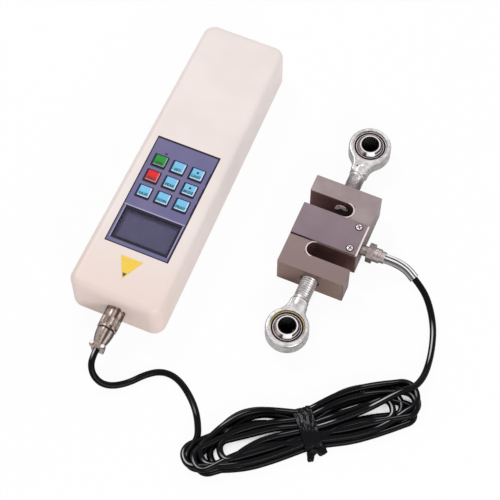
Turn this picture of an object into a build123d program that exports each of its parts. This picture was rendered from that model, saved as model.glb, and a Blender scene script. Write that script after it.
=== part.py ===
"""Hand-held digital force gauge with an external S-type load cell, its plug, cable and rod ends."""

import math
import os

from build123d import *

os.makedirs("parts", exist_ok=True)

# Frame: origin under the middle of the case, on the surface it lies on. +Y runs along the case, away
# from its socket end, +X points to the load cell's side and +Z up through the keys. Millimetres.

# ---- case -------------------------------------------------------------------------------------
case_length = 239.0
case_height = 37.0
socket_end_width = 71.8
grip_end_width = 64.2
case_wall = 2.6
case_corner_radius = 9.0
case_top_radius = 5.5
case_base_radius = 3.0
lip_height = 1.6
lip_clearance = 0.15

# ---- panel, keys and display ----------------------------------------------------------------
panel_width = 49.4
panel_length = 92.6
panel_thickness = 0.5
panel_end_gap = 40.0
panel_clearance = 0.1
key_width = 9.2
key_length = 8.8
key_pitch_x = 14.6
key_pitch_y = 13.7
key_rows = 3
key_columns = 3
key_grid_offset = 13.4
key_clearance = 0.35
key_stand = 0.9
key_travel = 0.5
key_flange_margin = 1.0
key_flange_thickness = 0.8
key_flange_gap = 0.2
key_stem_diameter = 3.6
key_stem_length = 1.4
key_corner = 0.8
key_opening_corner = 1.0
key_flange_corner = 1.4
key_edge = 0.5
key_names = ["power", "set", "unit", "zero", "peak", "mode", "save", "down", "print"]
display_side_margin = 1.7
display_length = 27.6
display_offset = -28.8
display_clearance = 0.15
bezel_border = 1.8
bezel_ledge = 1.3
bezel_drop = 0.3
bezel_flange_margin = 1.4
bezel_flange_thickness = 1.2
window_thickness = 1.2
window_set = 0.4
window_clearance = 0.1
lamp_diameter = 1.8
lamp_x = -12.9
lamp_offset = 34.1
lamp_clearance = 0.1
lamp_foot_diameter = 2.8
lamp_foot_height = 4.0
sticker_width = 17.2
sticker_height = 16.6
sticker_thickness = 0.2
sticker_gap = 6.5

# ---- circuit board ----------------------------------------------------------------------------
board_width = 53.0
board_length = 109.0
board_offset = -5.3
board_thickness = 1.6
board_drop = 8.0
board_hole_inset_x = 3.0
board_hole_inset_y = 6.0
board_corner = 2.0
board_hole_clearance = 0.2
chip_height = 1.6
chips = [(-8, 18.5, 12, 12), (11, 14.5, 6, 9), (-6, -9.5, 9, 5), (12, 30.5, 8, 4)]
capacitor_diameter = 6.0
capacitor_height = 7.0
capacitor_places = [(12, -11.5), (16, -27.5)]
header_length = 10.0
header_depth = 5.0
header_height = 6.0
signal_header_place = (6.0, -45.5)
supply_header_place = (-10.0, 44.5)
boss_diameter = 5.6
board_screw_diameter = 2.0
board_screw_head = 4.4
board_screw_head_height = 1.6
board_screw_length = 5.5
switch_size = 6.0
switch_height = 3.5
switch_corner = 0.6
plunger_diameter = 3.4
switch_clearance = 0.1
lcd_side_inset = 1.2
lcd_end_inset = 1.3
lcd_thickness = 4.0
lcd_connector_width = 2.4

# ---- battery ------------------------------------------------------------------------------------
battery_width = 43.6
battery_length = 51.0
battery_headroom = 2.8
battery_corner = 7.0
battery_edge = 1.2
battery_end_gap = 32.0
strap_width = 12.0
strap_thickness = 1.2
strap_clearance = 0.15
strap_foot = 6.8
strap_boss_height = 6.0
strap_boss_diameter = 6.4
strap_screw_diameter = 2.4
strap_screw_head = 5.0
strap_screw_head_height = 1.6
strap_screw_length = 6.0

# ---- case fixings ---------------------------------------------------------------------------------
case_screw_inset_x = 8.6
case_screw_inset_y = 11.0
case_screw_diameter = 2.6
case_screw_head = 5.6
case_screw_head_height = 2.4
case_screw_counterbore = 4.0
case_screw_length = 17.0
cross_length = 3.0
cross_width = 0.7
cross_depth = 1.2
post_diameter = 7.6
insert_spacing_x = 40.0
insert_spacing_y = 65.0
insert_y = -22.5
insert_diameter = 7.0
insert_length = 7.0
insert_hole_diameter = 4.2
insert_boss_wall = 1.2
screw_clearance = 0.05
fit_gap = 0.02
cut_margin = 0.5

# ---- socket and plug ------------------------------------------------------------------------------
plug_x = 2.0
socket_thread_diameter = 11.8
socket_flange_width = 1.2
socket_flange_thickness = 1.2
socket_nose_length = 8.0
socket_wall = 1.0
socket_bore_depth = 7.4
socket_body_length = 12.0
socket_hole_clearance = 0.1
socket_nut_wall = 2.1
socket_nut_thickness = 2.6
washer_rim = 1.6
washer_thickness = 0.6
contact_count = 5
contact_edge = 1.5
contact_diameter = 1.2
contact_clearance = 0.1
socket_insulator_length = 6.0
socket_insulator_step = 0.9
pin_reach = 4.0
plug_gap = 0.4
barrel_wall = 0.7
barrel_clearance = 0.2
plug_insulator_length = 5.0
collar_step = 0.6
collar_reach = 4.0
coupling_edge = 0.5
backshell_swell = 0.7
coupling_wall = 1.3
coupling_length = 14.6
coupling_bore_clearance = 0.1
coupling_back_wall = 3.0
backshell_step = 0.8
backshell_rear_diameter = 8.4
backshell_length = 12.0
backshell_gap = 0.4
clamp_width = 11.6
clamp_height = 9.0
clamp_thickness = 3.6
clamp_screw_x = 4.2
clamp_screw_diameter = 1.6
clamp_screw_head = 2.8
clamp_screw_head_height = 1.0
clamp_screw_grip = 3.2
clamp_split = 0.5
clamp_corner = 0.8

# ---- charging jack --------------------------------------------------------------------------------
jack_x = -12.0
jack_height = 20.0
jack_diameter = 6.0
jack_length = 14.0
jack_bore_diameter = 3.6
jack_bore_depth = 12.0
jack_nose_stand = 2.0
jack_nut_diameter = 9.0
jack_nut_thickness = 1.8
jack_flange_diameter = 9.0

# ---- load cell ------------------------------------------------------------------------------------
cell_x = 117.6
cell_y = -3.5
beam_width = 50.8
beam_length = 76.2
beam_thickness = 25.4
arm_thickness = 13.4
slot_width = 11.1
slot_reach = 35.4
beam_chamfer = 0.5
pocket_left = -15.0
pocket_right = 13.0
pocket_half_length = 8.8
pocket_depth = 17.0
pocket_corner = 3.0
cover_length = 26.0
cover_thickness = 1.2
cover_chamfer = 0.25
cover_slot_width = 0.6
cover_slot_depth = 0.5
cover_edge = 1.5
cover_screw_edge = 5.2
cover_screw_spacing = 18.2
cover_screw_diameter = 2.0
cover_screw_head = 3.8
cover_screw_head_height = 0.9
cover_screw_length = 6.0
gauge_length = 8.0
gauge_width = 6.0
gauge_thickness = 0.4
gauge_gap = 2.0
terminal_board_length = 14.0
terminal_board_width = 9.0
terminal_board_thickness = 1.2

# ---- rod ends -------------------------------------------------------------------------------------
eye_bore_diameter = 12.0
ball_diameter = 22.2
ball_width = 16.0
ball_clearance = 0.05
liner_wall = 1.7
liner_width = 10.0
liner_fit = 0.02
head_wall = 2.9
head_width = 12.0
head_edge = 1.6
neck_margin = 0.5
neck_reach = 25.0
neck_flat_reach = 24.5
neck_fillet = 12.0
neck_nose = 3.0
neck_rise = 3.0
neck_chamfer = 0.8
eye_distance = 41.8
shank_diameter = 12.0
thread_pitch = 1.75
thread_depth = 0.8
thread_clearance = 0.05
shank_end_stand = 1.0
hole_countersink_rim = 1.3

# ---- gland, sleeve and cable ----------------------------------------------------------------------
gland_neck_diameter = 7.6
gland_neck_length = 4.6
gland_hex = 12.6
gland_hex_length = 4.6
gland_spigot_length = 8.0
gland_nut_diameter = 10.6
gland_nut_length = 8.6
gland_nut_share = 0.6
gland_nut_step = 0.9
sleeve_diameter = 7.2
cable_diameter = 4.8
cable_bend = 0.45
wire_diameter = 1.2
wire_pitch = 1.8
socket_wire_count = 4
battery_wire_count = 2
cell_wire_count = 4
wire_run = 5.0
wire_drop = 8.0
wire_loop = 6.0

sleeve_points = [(160.7, -3.5, 12.7), (169.5, -3.5, 12.7), (178.4, -5.4, 12.5), (185.8, -9.2, 10.4)]
meter_lead_points = [
    (2.0, -151.7, 18.5),
    (2.0, -158.0, 18.5),
    (3.2, -164.0, 16.2),
    (6.8, -168.2, 11.4),
    (13.2, -169.8, 6.4),
    (21.0, -167.0, 3.2),
    (29.9, -159.9, 2.4),
    (37.8, -150.2, 2.4),
    (47.0, -144.4, 2.4),
    (57.5, -144.6, 2.4),
    (68.8, -151.3, 2.4),
    (80.6, -162.6, 2.4),
    (88.8, -176.0, 2.4),
    (89.8, -181.0, 2.4),
]
cell_lead_points = [
    (185.8, -9.2, 10.4),
    (194.68, -13.76, 7.88),
    (204.0, -22.6, 3.4),
    (212.3, -35.6, 2.4),
    (217.2, -48.6, 2.4),
    (220.2, -61.9, 3.0),
    (220.8, -76.4, 6.5),
    (216.7, -89.0, 11.4),
]

# ---- hank -----------------------------------------------------------------------------------------
hank_start = (91.6, -201.4)
hank_angle = 40.1
hank_height = 14.0
hank_edge = 4.0
left_lobe = [(12.0, 6.0, 13.5), (50.0, 7.0, 22.6), (88.0, 1.3, 14.3)]
right_lobe = [(88.0, 1.3, 14.3), (148.0, -0.6, 22.0), (160.0, 3.0, 12.0)]
tie_place = 88.0
tie_width = 9.0
tie_thickness = 0.8
tie_fit = 0.05
tie_gap = 0.5
waist_low = -13.0
waist_high = 15.6
waist_height = 11.0
waist_cut = 80.0
tie_tail_length = 9.0
tie_tail_width = 7.0
tie_tail_thickness = 1.6

# ---- worked out -----------------------------------------------------------------------------------
half_length = case_length / 2
socket_face = -half_length
grip_face = half_length
ceiling = case_height - case_wall
panel_floor = case_height - panel_thickness
panel_base_y = socket_face + panel_end_gap
panel_y = panel_base_y + panel_length / 2
key_grid_y = panel_y + key_grid_offset
display_width = panel_width - 2 * display_side_margin
display_y = panel_y + display_offset
lamp_y = panel_y + lamp_offset
sticker_base_y = panel_base_y - sticker_gap
lcd_width = display_width - 2 * lcd_side_inset
lcd_length = display_length - 2 * lcd_end_inset
board_y = panel_y + board_offset
board_top = ceiling - board_drop
board_base = board_top - board_thickness
battery_height = case_height - 2 * case_wall - battery_headroom
battery_y = grip_face - battery_end_gap - battery_length / 2
plug_height = case_height / 2
seam_height = plug_height - socket_thread_diameter / 2 - lip_height
socket_bore_diameter = socket_thread_diameter - 2 * socket_wall
socket_flange_diameter = socket_thread_diameter + 2 * socket_flange_width
coupling_bore_diameter = socket_thread_diameter + 2 * coupling_bore_clearance
coupling_diameter = coupling_bore_diameter + 2 * coupling_wall
collar_diameter = socket_thread_diameter - 2 * collar_step
backshell_front_diameter = coupling_diameter - 2 * backshell_step
liner_diameter = ball_diameter + 2 * liner_wall
head_diameter = liner_diameter + 2 * head_wall
neck_diameter = shank_diameter + 2 * neck_margin
eye_wall_end = liner_diameter / 2 + head_edge
hole_countersink = shank_diameter + 2 * hole_countersink_rim
plug_plane = Plane(origin=(plug_x, socket_face, plug_height), z_dir=(0, -1, 0))
arm_edge = beam_length / 2 - arm_thickness
slot_far_edge = arm_edge - slot_width
mid_height = beam_thickness / 2
shank_tip = eye_distance + arm_thickness + shank_end_stand


def half_width(y):
    """Half the case's width at y, along its straight taper."""
    share = (y + half_length) / case_length
    return (socket_end_width + (grip_end_width - socket_end_width) * share) / 2


def case_outline(inset):
    """The case's plan, moved inwards by inset."""
    with BuildSketch() as plan:
        with BuildLine():
            Polyline(
                (-half_width(socket_face) + inset, socket_face + inset),
                (half_width(socket_face) - inset, socket_face + inset),
                (half_width(grip_face) - inset, grip_face - inset),
                (-half_width(grip_face) + inset, grip_face - inset),
                close=True,
            )
        make_face()
        fillet(plan.vertices(), radius=case_corner_radius - inset)
    return plan.sketch


def finish(builder, label):
    """Label a finished piece and write it."""
    builder.part.label = label
    export_step(builder.part, f"parts/{label}.step")


key_opening = (key_width + 2 * key_clearance, key_length + 2 * key_clearance)
screw_y = half_length - case_screw_inset_y
screw_places = [
    (side * (half_width(end * screw_y) - case_screw_inset_x), end * screw_y)
    for end in (-1, 1)
    for side in (-1, 1)
]
board_hole_x = board_width / 2 - board_hole_inset_x
board_hole_y = board_length / 2 - board_hole_inset_y
board_places = [
    (x, board_y + y) for x in (-board_hole_x, board_hole_x) for y in (-board_hole_y, board_hole_y)
]
insert_places = [
    (x * insert_spacing_x / 2, insert_y + y * insert_spacing_y / 2) for x in (-1, 1) for y in (-1, 1)
]
key_places = [
    (
        (column - (key_columns - 1) / 2) * key_pitch_x,
        key_grid_y - (row - (key_rows - 1) / 2) * key_pitch_y,
    )
    for row in range(key_rows)
    for column in range(key_columns)
]
strap_hole_x = battery_width / 2 + strap_clearance + strap_thickness + strap_foot / 2
strap_places = [(-strap_hole_x, battery_y), (strap_hole_x, battery_y)]

# ---- front case: the deep shell with the panel recess, key holes and inner posts -------------------
with BuildPart() as front_case:
    with BuildSketch(Plane.XY.offset(seam_height)):
        add(case_outline(0))
    extrude(amount=case_height - seam_height)
    fillet(front_case.faces().sort_by(Axis.Z)[-1].edges(), radius=case_top_radius)
    with BuildSketch(Plane.XY.offset(seam_height)):
        add(case_outline(case_wall))
    extrude(amount=ceiling - seam_height, mode=Mode.SUBTRACT)
    with BuildSketch(Plane.XY.offset(seam_height)):
        add(case_outline(case_wall / 2))
    extrude(amount=lip_height + lip_clearance, mode=Mode.SUBTRACT)
    with BuildSketch(Plane.XY.offset(ceiling)):
        with Locations(*board_places):
            Circle(boss_diameter / 2)
    extrude(amount=-board_drop)
    with BuildSketch(Plane.XY.offset(ceiling)):
        with Locations(*screw_places):
            Circle(post_diameter / 2)
    extrude(amount=seam_height - ceiling)
    with Locations(*[(x, y, board_top) for x, y in board_places]):
        Cylinder(
            board_screw_diameter / 2 + screw_clearance,
            board_drop,
            align=(Align.CENTER, Align.CENTER, Align.MIN),
            mode=Mode.SUBTRACT,
        )
    with Locations(*[(x, y, seam_height) for x, y in screw_places]):
        Cylinder(
            case_screw_diameter / 2 + screw_clearance,
            case_screw_length,
            align=(Align.CENTER, Align.CENTER, Align.MIN),
            mode=Mode.SUBTRACT,
        )
    with BuildSketch(Plane.XY.offset(panel_floor)):
        with Locations((0, panel_y)):
            Rectangle(panel_width + 2 * panel_clearance, panel_length + 2 * panel_clearance)
    extrude(amount=panel_thickness, mode=Mode.SUBTRACT)
    with BuildSketch(Plane.XY.offset(ceiling)):
        with Locations(*key_places):
            RectangleRounded(*key_opening, key_opening_corner)
        with Locations((0, display_y)):
            Rectangle(display_width + 2 * display_clearance, display_length + 2 * display_clearance)
        with Locations((lamp_x, lamp_y)):
            Circle(lamp_diameter / 2 + lamp_clearance)
    extrude(amount=case_wall, mode=Mode.SUBTRACT)
    with Locations(plug_plane):
        Cylinder(
            socket_thread_diameter / 2 + socket_hole_clearance,
            2 * (case_wall + cut_margin),
            mode=Mode.SUBTRACT,
        )
    with Locations(Plane(origin=(jack_x, grip_face, jack_height), z_dir=(0, 1, 0))):
        Cylinder(
            jack_diameter / 2 + socket_hole_clearance,
            2 * (case_wall + cut_margin),
            mode=Mode.SUBTRACT,
        )
finish(front_case, "front_case")

# ---- rear case: the shallow tray, with its lip, screw posts, insert bosses and strap bosses --------
with BuildPart() as rear_case:
    with BuildSketch():
        add(case_outline(0))
    extrude(amount=seam_height)
    fillet(rear_case.faces().sort_by(Axis.Z)[0].edges(), radius=case_base_radius)
    with BuildSketch(Plane.XY.offset(seam_height)):
        add(case_outline(case_wall / 2 + lip_clearance))
    extrude(amount=lip_height)
    with BuildSketch(Plane.XY.offset(case_wall)):
        add(case_outline(case_wall))
    extrude(amount=seam_height + lip_height, mode=Mode.SUBTRACT)
    with BuildSketch(Plane.XY.offset(case_wall)):
        with Locations(*screw_places):
            Circle(post_diameter / 2)
    extrude(amount=seam_height - case_wall)
    with BuildSketch(Plane.XY.offset(case_wall)):
        with Locations(*insert_places):
            Circle(insert_diameter / 2 + insert_boss_wall)
    extrude(amount=insert_length + insert_boss_wall - case_wall)
    with BuildSketch(Plane.XY.offset(case_wall)):
        with Locations(*strap_places):
            Circle(strap_boss_diameter / 2)
    extrude(amount=strap_boss_height)
    with BuildSketch():
        with Locations(*screw_places):
            Circle(case_screw_head / 2 + 2 * screw_clearance)
    extrude(amount=case_screw_counterbore, mode=Mode.SUBTRACT)
    with BuildSketch():
        with Locations(*screw_places):
            Circle(case_screw_diameter / 2 + screw_clearance)
    extrude(amount=seam_height, mode=Mode.SUBTRACT)
    with BuildSketch():
        with Locations(*insert_places):
            Circle(insert_diameter / 2 + screw_clearance)
    extrude(amount=insert_length, mode=Mode.SUBTRACT)
    with BuildSketch(Plane.XY.offset(case_wall)):
        with Locations(*strap_places):
            Circle(strap_screw_diameter / 2 + screw_clearance)
    extrude(amount=strap_boss_height, mode=Mode.SUBTRACT)
finish(rear_case, "rear_case")

# ---- panel: the thin violet overlay with its key, display and lamp openings ------------------------
with BuildPart() as panel_overlay:
    with BuildSketch(Plane.XY.offset(panel_floor)):
        with Locations((0, panel_y)):
            Rectangle(panel_width, panel_length)
        with Locations(*key_places):
            RectangleRounded(*key_opening, key_opening_corner, mode=Mode.SUBTRACT)
        with Locations((0, display_y)):
            Rectangle(
                display_width + 2 * display_clearance,
                display_length + 2 * display_clearance,
                mode=Mode.SUBTRACT,
            )
        with Locations((lamp_x, lamp_y)):
            Circle(lamp_diameter / 2 + lamp_clearance, mode=Mode.SUBTRACT)
    extrude(amount=panel_thickness)
finish(panel_overlay, "panel_overlay")

# ---- display: bezel from behind the wall, the window in it, and the module under both --------------
bezel_top = case_height - bezel_drop
bezel_base = ceiling - bezel_flange_thickness
seat_width = display_width - 2 * bezel_border
seat_length = display_length - 2 * bezel_border
window_base = bezel_top - window_set - window_thickness
with BuildPart() as display_bezel:
    with BuildSketch(Plane.XY.offset(bezel_base)):
        with Locations((0, display_y)):
            Rectangle(
                display_width + 2 * bezel_flange_margin, display_length + 2 * bezel_flange_margin
            )
    extrude(amount=bezel_flange_thickness)
    with BuildSketch(Plane.XY.offset(ceiling)):
        with Locations((0, display_y)):
            Rectangle(display_width, display_length)
    extrude(amount=bezel_top - ceiling)
    with BuildSketch(Plane.XY.offset(window_base)):
        with Locations((0, display_y)):
            Rectangle(seat_width, seat_length)
    extrude(amount=bezel_top - window_base, mode=Mode.SUBTRACT)
    with BuildSketch(Plane.XY.offset(bezel_base)):
        with Locations((0, display_y)):
            Rectangle(seat_width - 2 * bezel_ledge, seat_length - 2 * bezel_ledge)
    extrude(amount=window_base - bezel_base, mode=Mode.SUBTRACT)
finish(display_bezel, "display_bezel")

with BuildPart() as display_window:
    with BuildSketch(Plane.XY.offset(window_base)):
        with Locations((0, display_y)):
            Rectangle(seat_width - 2 * window_clearance, seat_length - 2 * window_clearance)
    extrude(amount=window_thickness)
finish(display_window, "display_window")

with BuildPart() as lcd_module:
    with BuildSketch(Plane.XY.offset(bezel_base)):
        with Locations((0, display_y)):
            Rectangle(lcd_width, lcd_length)
    extrude(amount=-lcd_thickness)
    with BuildSketch(Plane.XY.offset(board_top)):
        with Locations((0, display_y)):
            with GridLocations(0, lcd_length - lcd_connector_width, 1, 2):
                Rectangle(lcd_width - 2 * lcd_connector_width, lcd_connector_width)
    extrude(amount=bezel_base - lcd_thickness - board_top)
finish(lcd_module, "lcd_module")

# ---- circuit board, its components, the key switches and the lamp ----------------------------------
with BuildPart() as circuit_board:
    with BuildSketch(Plane.XY.offset(board_base)):
        with Locations((0, board_y)):
            RectangleRounded(board_width, board_length, board_corner)
        with Locations(*board_places):
            Circle(board_screw_diameter / 2 + board_hole_clearance, mode=Mode.SUBTRACT)
    extrude(amount=board_thickness)
finish(circuit_board, "circuit_board")

with BuildPart() as board_components:
    with BuildSketch(Plane.XY.offset(board_base)):
        for x, y, width, length in chips:
            with Locations((x, board_y + y)):
                Rectangle(width, length)
    extrude(amount=-chip_height)
    with BuildSketch(Plane.XY.offset(board_base)):
        with Locations(*[(x, board_y + y) for x, y in capacitor_places]):
            Circle(capacitor_diameter / 2)
    extrude(amount=-capacitor_height)
    with BuildSketch(Plane.XY.offset(board_base)):
        with Locations(*[(x, board_y + y) for x, y in (signal_header_place, supply_header_place)]):
            Rectangle(header_length, header_depth)
    extrude(amount=-header_height)
finish(board_components, "board_components")

flange_base = ceiling - key_flange_gap - key_flange_thickness
stem_base = flange_base - key_stem_length
with BuildPart() as key_switches:
    with BuildSketch(Plane.XY.offset(board_top)):
        with Locations(*key_places):
            RectangleRounded(switch_size, switch_size, switch_corner)
    extrude(amount=switch_height)
    with BuildSketch(Plane.XY.offset(board_top + switch_height)):
        with Locations(*key_places):
            Circle(plunger_diameter / 2)
    extrude(amount=stem_base - key_travel - switch_clearance - board_top - switch_height)
finish(key_switches, "key_switches")

with BuildPart() as status_lamp:
    with BuildSketch(Plane.XY.offset(board_top)):
        with Locations((lamp_x, lamp_y)):
            Circle(lamp_foot_diameter / 2)
    extrude(amount=lamp_foot_height)
    with BuildSketch(Plane.XY.offset(board_top)):
        with Locations((lamp_x, lamp_y)):
            Circle(lamp_diameter / 2)
    extrude(amount=case_height - board_top)
finish(status_lamp, "status_lamp")

for name, place in zip(key_names, key_places):
    with BuildPart() as key:
        with BuildSketch(Plane.XY.offset(flange_base)):
            with Locations(place):
                RectangleRounded(
                    key_width + 2 * key_flange_margin,
                    key_length + 2 * key_flange_margin,
                    key_flange_corner,
                )
        extrude(amount=key_flange_thickness)
        with BuildSketch(Plane.XY.offset(flange_base)):
            with Locations(place):
                RectangleRounded(key_width, key_length, key_corner)
        extrude(amount=case_height + key_stand - flange_base)
        chamfer(key.faces().sort_by(Axis.Z)[-1].edges(), length=key_edge)
        with BuildSketch(Plane.XY.offset(stem_base)):
            with Locations(place):
                Circle(key_stem_diameter / 2)
        extrude(amount=key_stem_length)
    finish(key, f"key_{name}")

# ---- small fasteners in the case -----------------------------------------------------------------
with BuildPart() as board_screws:
    with BuildSketch(Plane.XY.offset(board_base)):
        with Locations(*board_places):
            Circle(board_screw_head / 2)
    extrude(amount=-board_screw_head_height)
    with BuildSketch(Plane.XY.offset(board_base)):
        with Locations(*board_places):
            Circle(board_screw_diameter / 2)
    extrude(amount=board_screw_length)
finish(board_screws, "board_screws")

with BuildPart() as case_screws:
    with BuildSketch(Plane.XY.offset(case_screw_counterbore)):
        with Locations(*screw_places):
            Circle(case_screw_head / 2)
    extrude(amount=-case_screw_head_height)
    with BuildSketch(Plane.XY.offset(case_screw_counterbore)):
        with Locations(*screw_places):
            Circle(case_screw_diameter / 2)
    extrude(amount=case_screw_length)
    with BuildSketch(Plane.XY.offset(case_screw_counterbore - case_screw_head_height)):
        with Locations(*screw_places):
            Rectangle(cross_length, cross_width)
            Rectangle(cross_width, cross_length)
    extrude(amount=cross_depth, mode=Mode.SUBTRACT)
finish(case_screws, "case_screws")

with BuildPart() as stand_inserts:
    with BuildSketch():
        with Locations(*insert_places):
            Circle(insert_diameter / 2)
            Circle(insert_hole_diameter / 2, mode=Mode.SUBTRACT)
    extrude(amount=insert_length)
finish(stand_inserts, "stand_inserts")

with BuildPart() as pointer_sticker:
    with BuildSketch(Plane.XY.offset(case_height)):
        with BuildLine():
            Polyline(
                (-sticker_width / 2, sticker_base_y),
                (sticker_width / 2, sticker_base_y),
                (0, sticker_base_y - sticker_height),
                close=True,
            )
        make_face()
    extrude(amount=sticker_thickness)
finish(pointer_sticker, "pointer_sticker")

# ---- battery pack with its strap ------------------------------------------------------------------
pack_top = case_wall + battery_height
strap_inner = battery_width / 2 + strap_clearance
strap_foot_top = case_wall + strap_boss_height + strap_thickness
with BuildPart() as battery_pack:
    with BuildSketch(Plane.XZ.offset(-battery_y - battery_length / 2)):
        with Locations((0, case_wall + battery_height / 2)):
            RectangleRounded(battery_width, battery_height, battery_corner)
    extrude(amount=battery_length)
    chamfer(battery_pack.faces().filter_by(Axis.Y).edges(), length=battery_edge)
finish(battery_pack, "battery_pack")

with BuildPart() as battery_strap:
    with BuildSketch(Plane.XZ.offset(-battery_y - strap_width / 2)):
        with Locations((0, case_wall + strap_boss_height)):
            Rectangle(
                2 * (strap_inner + strap_thickness),
                pack_top + strap_clearance + strap_thickness - case_wall - strap_boss_height,
                align=(Align.CENTER, Align.MIN),
            )
            Rectangle(
                2 * (strap_inner + strap_thickness + strap_foot),
                strap_thickness,
                align=(Align.CENTER, Align.MIN),
            )
            Rectangle(
                2 * strap_inner,
                pack_top + strap_clearance - case_wall - strap_boss_height,
                align=(Align.CENTER, Align.MIN),
                mode=Mode.SUBTRACT,
            )
    extrude(amount=strap_width)
    with BuildSketch(Plane.XY.offset(case_wall + strap_boss_height)):
        with Locations(*strap_places):
            Circle(strap_screw_diameter / 2 + screw_clearance)
    extrude(amount=strap_thickness, mode=Mode.SUBTRACT)
finish(battery_strap, "battery_strap")

with BuildPart() as strap_screws:
    with BuildSketch(Plane.XY.offset(strap_foot_top)):
        with Locations(*strap_places):
            Circle(strap_screw_head / 2)
    extrude(amount=strap_screw_head_height)
    with BuildSketch(Plane.XY.offset(strap_foot_top)):
        with Locations(*strap_places):
            Circle(strap_screw_diameter / 2)
    extrude(amount=-strap_screw_length)
finish(strap_screws, "strap_screws")


def turning_plane(origin, direction):
    """A plane through a turned piece's axis: local x runs along the axis, local y is the radius."""
    side = Vector(0, 0, 1).cross(Vector(*direction))
    return Plane(origin=origin, x_dir=direction, z_dir=side)


def turned(plane, points):
    """A turned solid from its half section, given as (distance along the axis, radius) pairs."""
    with BuildPart() as piece:
        with BuildSketch(plane):
            with BuildLine():
                Polyline(*points, close=True)
            make_face()
        revolve(axis=Axis(plane.origin, plane.x_dir))
    return piece.part


# ---- panel socket: flange outside the wall, nut and washer inside it -------------------------------
plug_axis = turning_plane((plug_x, socket_face, plug_height), (0, -1, 0))
thread_radius = socket_thread_diameter / 2
nose_end = socket_flange_thickness + socket_nose_length
bore_start = nose_end - socket_bore_depth
bore_radius = socket_bore_diameter / 2
insulator_radius = bore_radius - socket_insulator_step
contact_circle = 2 * (insulator_radius - contact_edge)
with BuildPart() as socket_shell:
    add(
        turned(
            plug_axis,
            [
                (-socket_body_length, insulator_radius),
                (-socket_body_length, thread_radius),
                (0, thread_radius),
                (0, socket_flange_diameter / 2),
                (socket_flange_thickness, socket_flange_diameter / 2),
                (socket_flange_thickness, thread_radius),
                (nose_end, thread_radius),
                (nose_end, bore_radius),
                (bore_start, bore_radius),
                (bore_start, insulator_radius),
            ],
        )
    )
finish(socket_shell, "socket_shell")

with BuildPart() as socket_insulator:
    with BuildSketch(plug_plane.offset(bore_start)):
        Circle(insulator_radius - fit_gap)
        with PolarLocations(contact_circle / 2, contact_count):
            Circle(contact_diameter / 2 + contact_clearance, mode=Mode.SUBTRACT)
    extrude(amount=-socket_insulator_length)
    with BuildSketch(plug_plane.offset(bore_start - socket_insulator_length)):
        Circle(insulator_radius - fit_gap)
    extrude(amount=-(socket_body_length + bore_start - socket_insulator_length))
finish(socket_insulator, "socket_insulator")

with BuildPart() as socket_washer:
    with BuildSketch(plug_plane.offset(-case_wall)):
        Circle(thread_radius + washer_rim)
        Circle(thread_radius + socket_hole_clearance, mode=Mode.SUBTRACT)
    extrude(amount=-washer_thickness)
finish(socket_washer, "socket_washer")

with BuildPart() as socket_nut:
    with BuildSketch(plug_plane.offset(-case_wall - washer_thickness)):
        RegularPolygon(thread_radius + socket_nut_wall, 6, major_radius=False)
        Circle(thread_radius + fit_gap, mode=Mode.SUBTRACT)
    extrude(amount=-socket_nut_thickness)
finish(socket_nut, "socket_nut")

# ---- charging jack in the grip end ----------------------------------------------------------------
jack_axis = turning_plane((jack_x, grip_face, jack_height), (0, 1, 0))
jack_radius = jack_diameter / 2
with BuildPart() as charging_jack:
    add(
        turned(
            jack_axis,
            [
                (-case_wall - jack_length, 0),
                (-case_wall - jack_length, jack_flange_diameter / 2),
                (-case_wall, jack_flange_diameter / 2),
                (-case_wall, jack_radius),
                (jack_nose_stand, jack_radius),
                (jack_nose_stand, jack_bore_diameter / 2),
                (jack_nose_stand - jack_bore_depth, jack_bore_diameter / 2),
                (jack_nose_stand - jack_bore_depth, 0),
            ],
        )
    )
finish(charging_jack, "charging_jack")

with BuildPart() as jack_nut:
    add(
        turned(
            jack_axis,
            [
                (0, jack_radius + fit_gap),
                (0, jack_nut_diameter / 2),
                (jack_nut_thickness, jack_nut_diameter / 2),
                (jack_nut_thickness, jack_radius + fit_gap),
            ],
        )
    )
finish(jack_nut, "jack_nut")

# ---- plug: barrel with its insulator and pins, the coupling nut, backshell and cable clamp --------
barrel_radius = bore_radius - barrel_clearance
barrel_start = bore_start + plug_gap
flange_start = nose_end + plug_gap
coupling_start = socket_flange_thickness + plug_gap
coupling_end = coupling_start + coupling_length
coupling_wall_start = coupling_end - coupling_back_wall
coupling_bore = coupling_bore_diameter / 2
collar_radius = collar_diameter / 2
backshell_start = coupling_end + backshell_gap
backshell_end = backshell_start + backshell_length
clamp_end = backshell_end + clamp_thickness
barrel_bore = barrel_radius - barrel_wall
with BuildPart() as plug_barrel:
    add(
        turned(
            plug_axis,
            [
                (barrel_start, barrel_bore),
                (barrel_start, barrel_radius),
                (flange_start, barrel_radius),
                (flange_start, coupling_bore - barrel_clearance),
                (coupling_wall_start - plug_gap, coupling_bore - barrel_clearance),
                (coupling_wall_start - plug_gap, collar_radius),
                (backshell_start + collar_reach, collar_radius),
                (backshell_start + collar_reach, barrel_bore),
            ],
        )
    )
finish(plug_barrel, "plug_barrel")

with BuildPart() as plug_insulator:
    with BuildSketch(plug_plane.offset(flange_start)):
        Circle(barrel_bore - fit_gap)
    extrude(amount=plug_insulator_length)
finish(plug_insulator, "plug_insulator")

with BuildPart() as plug_pins:
    with BuildSketch(plug_plane.offset(flange_start)):
        with PolarLocations(contact_circle / 2, contact_count):
            Circle(contact_diameter / 2)
    extrude(amount=-(flange_start - bore_start + pin_reach))
finish(plug_pins, "plug_pins")

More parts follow.
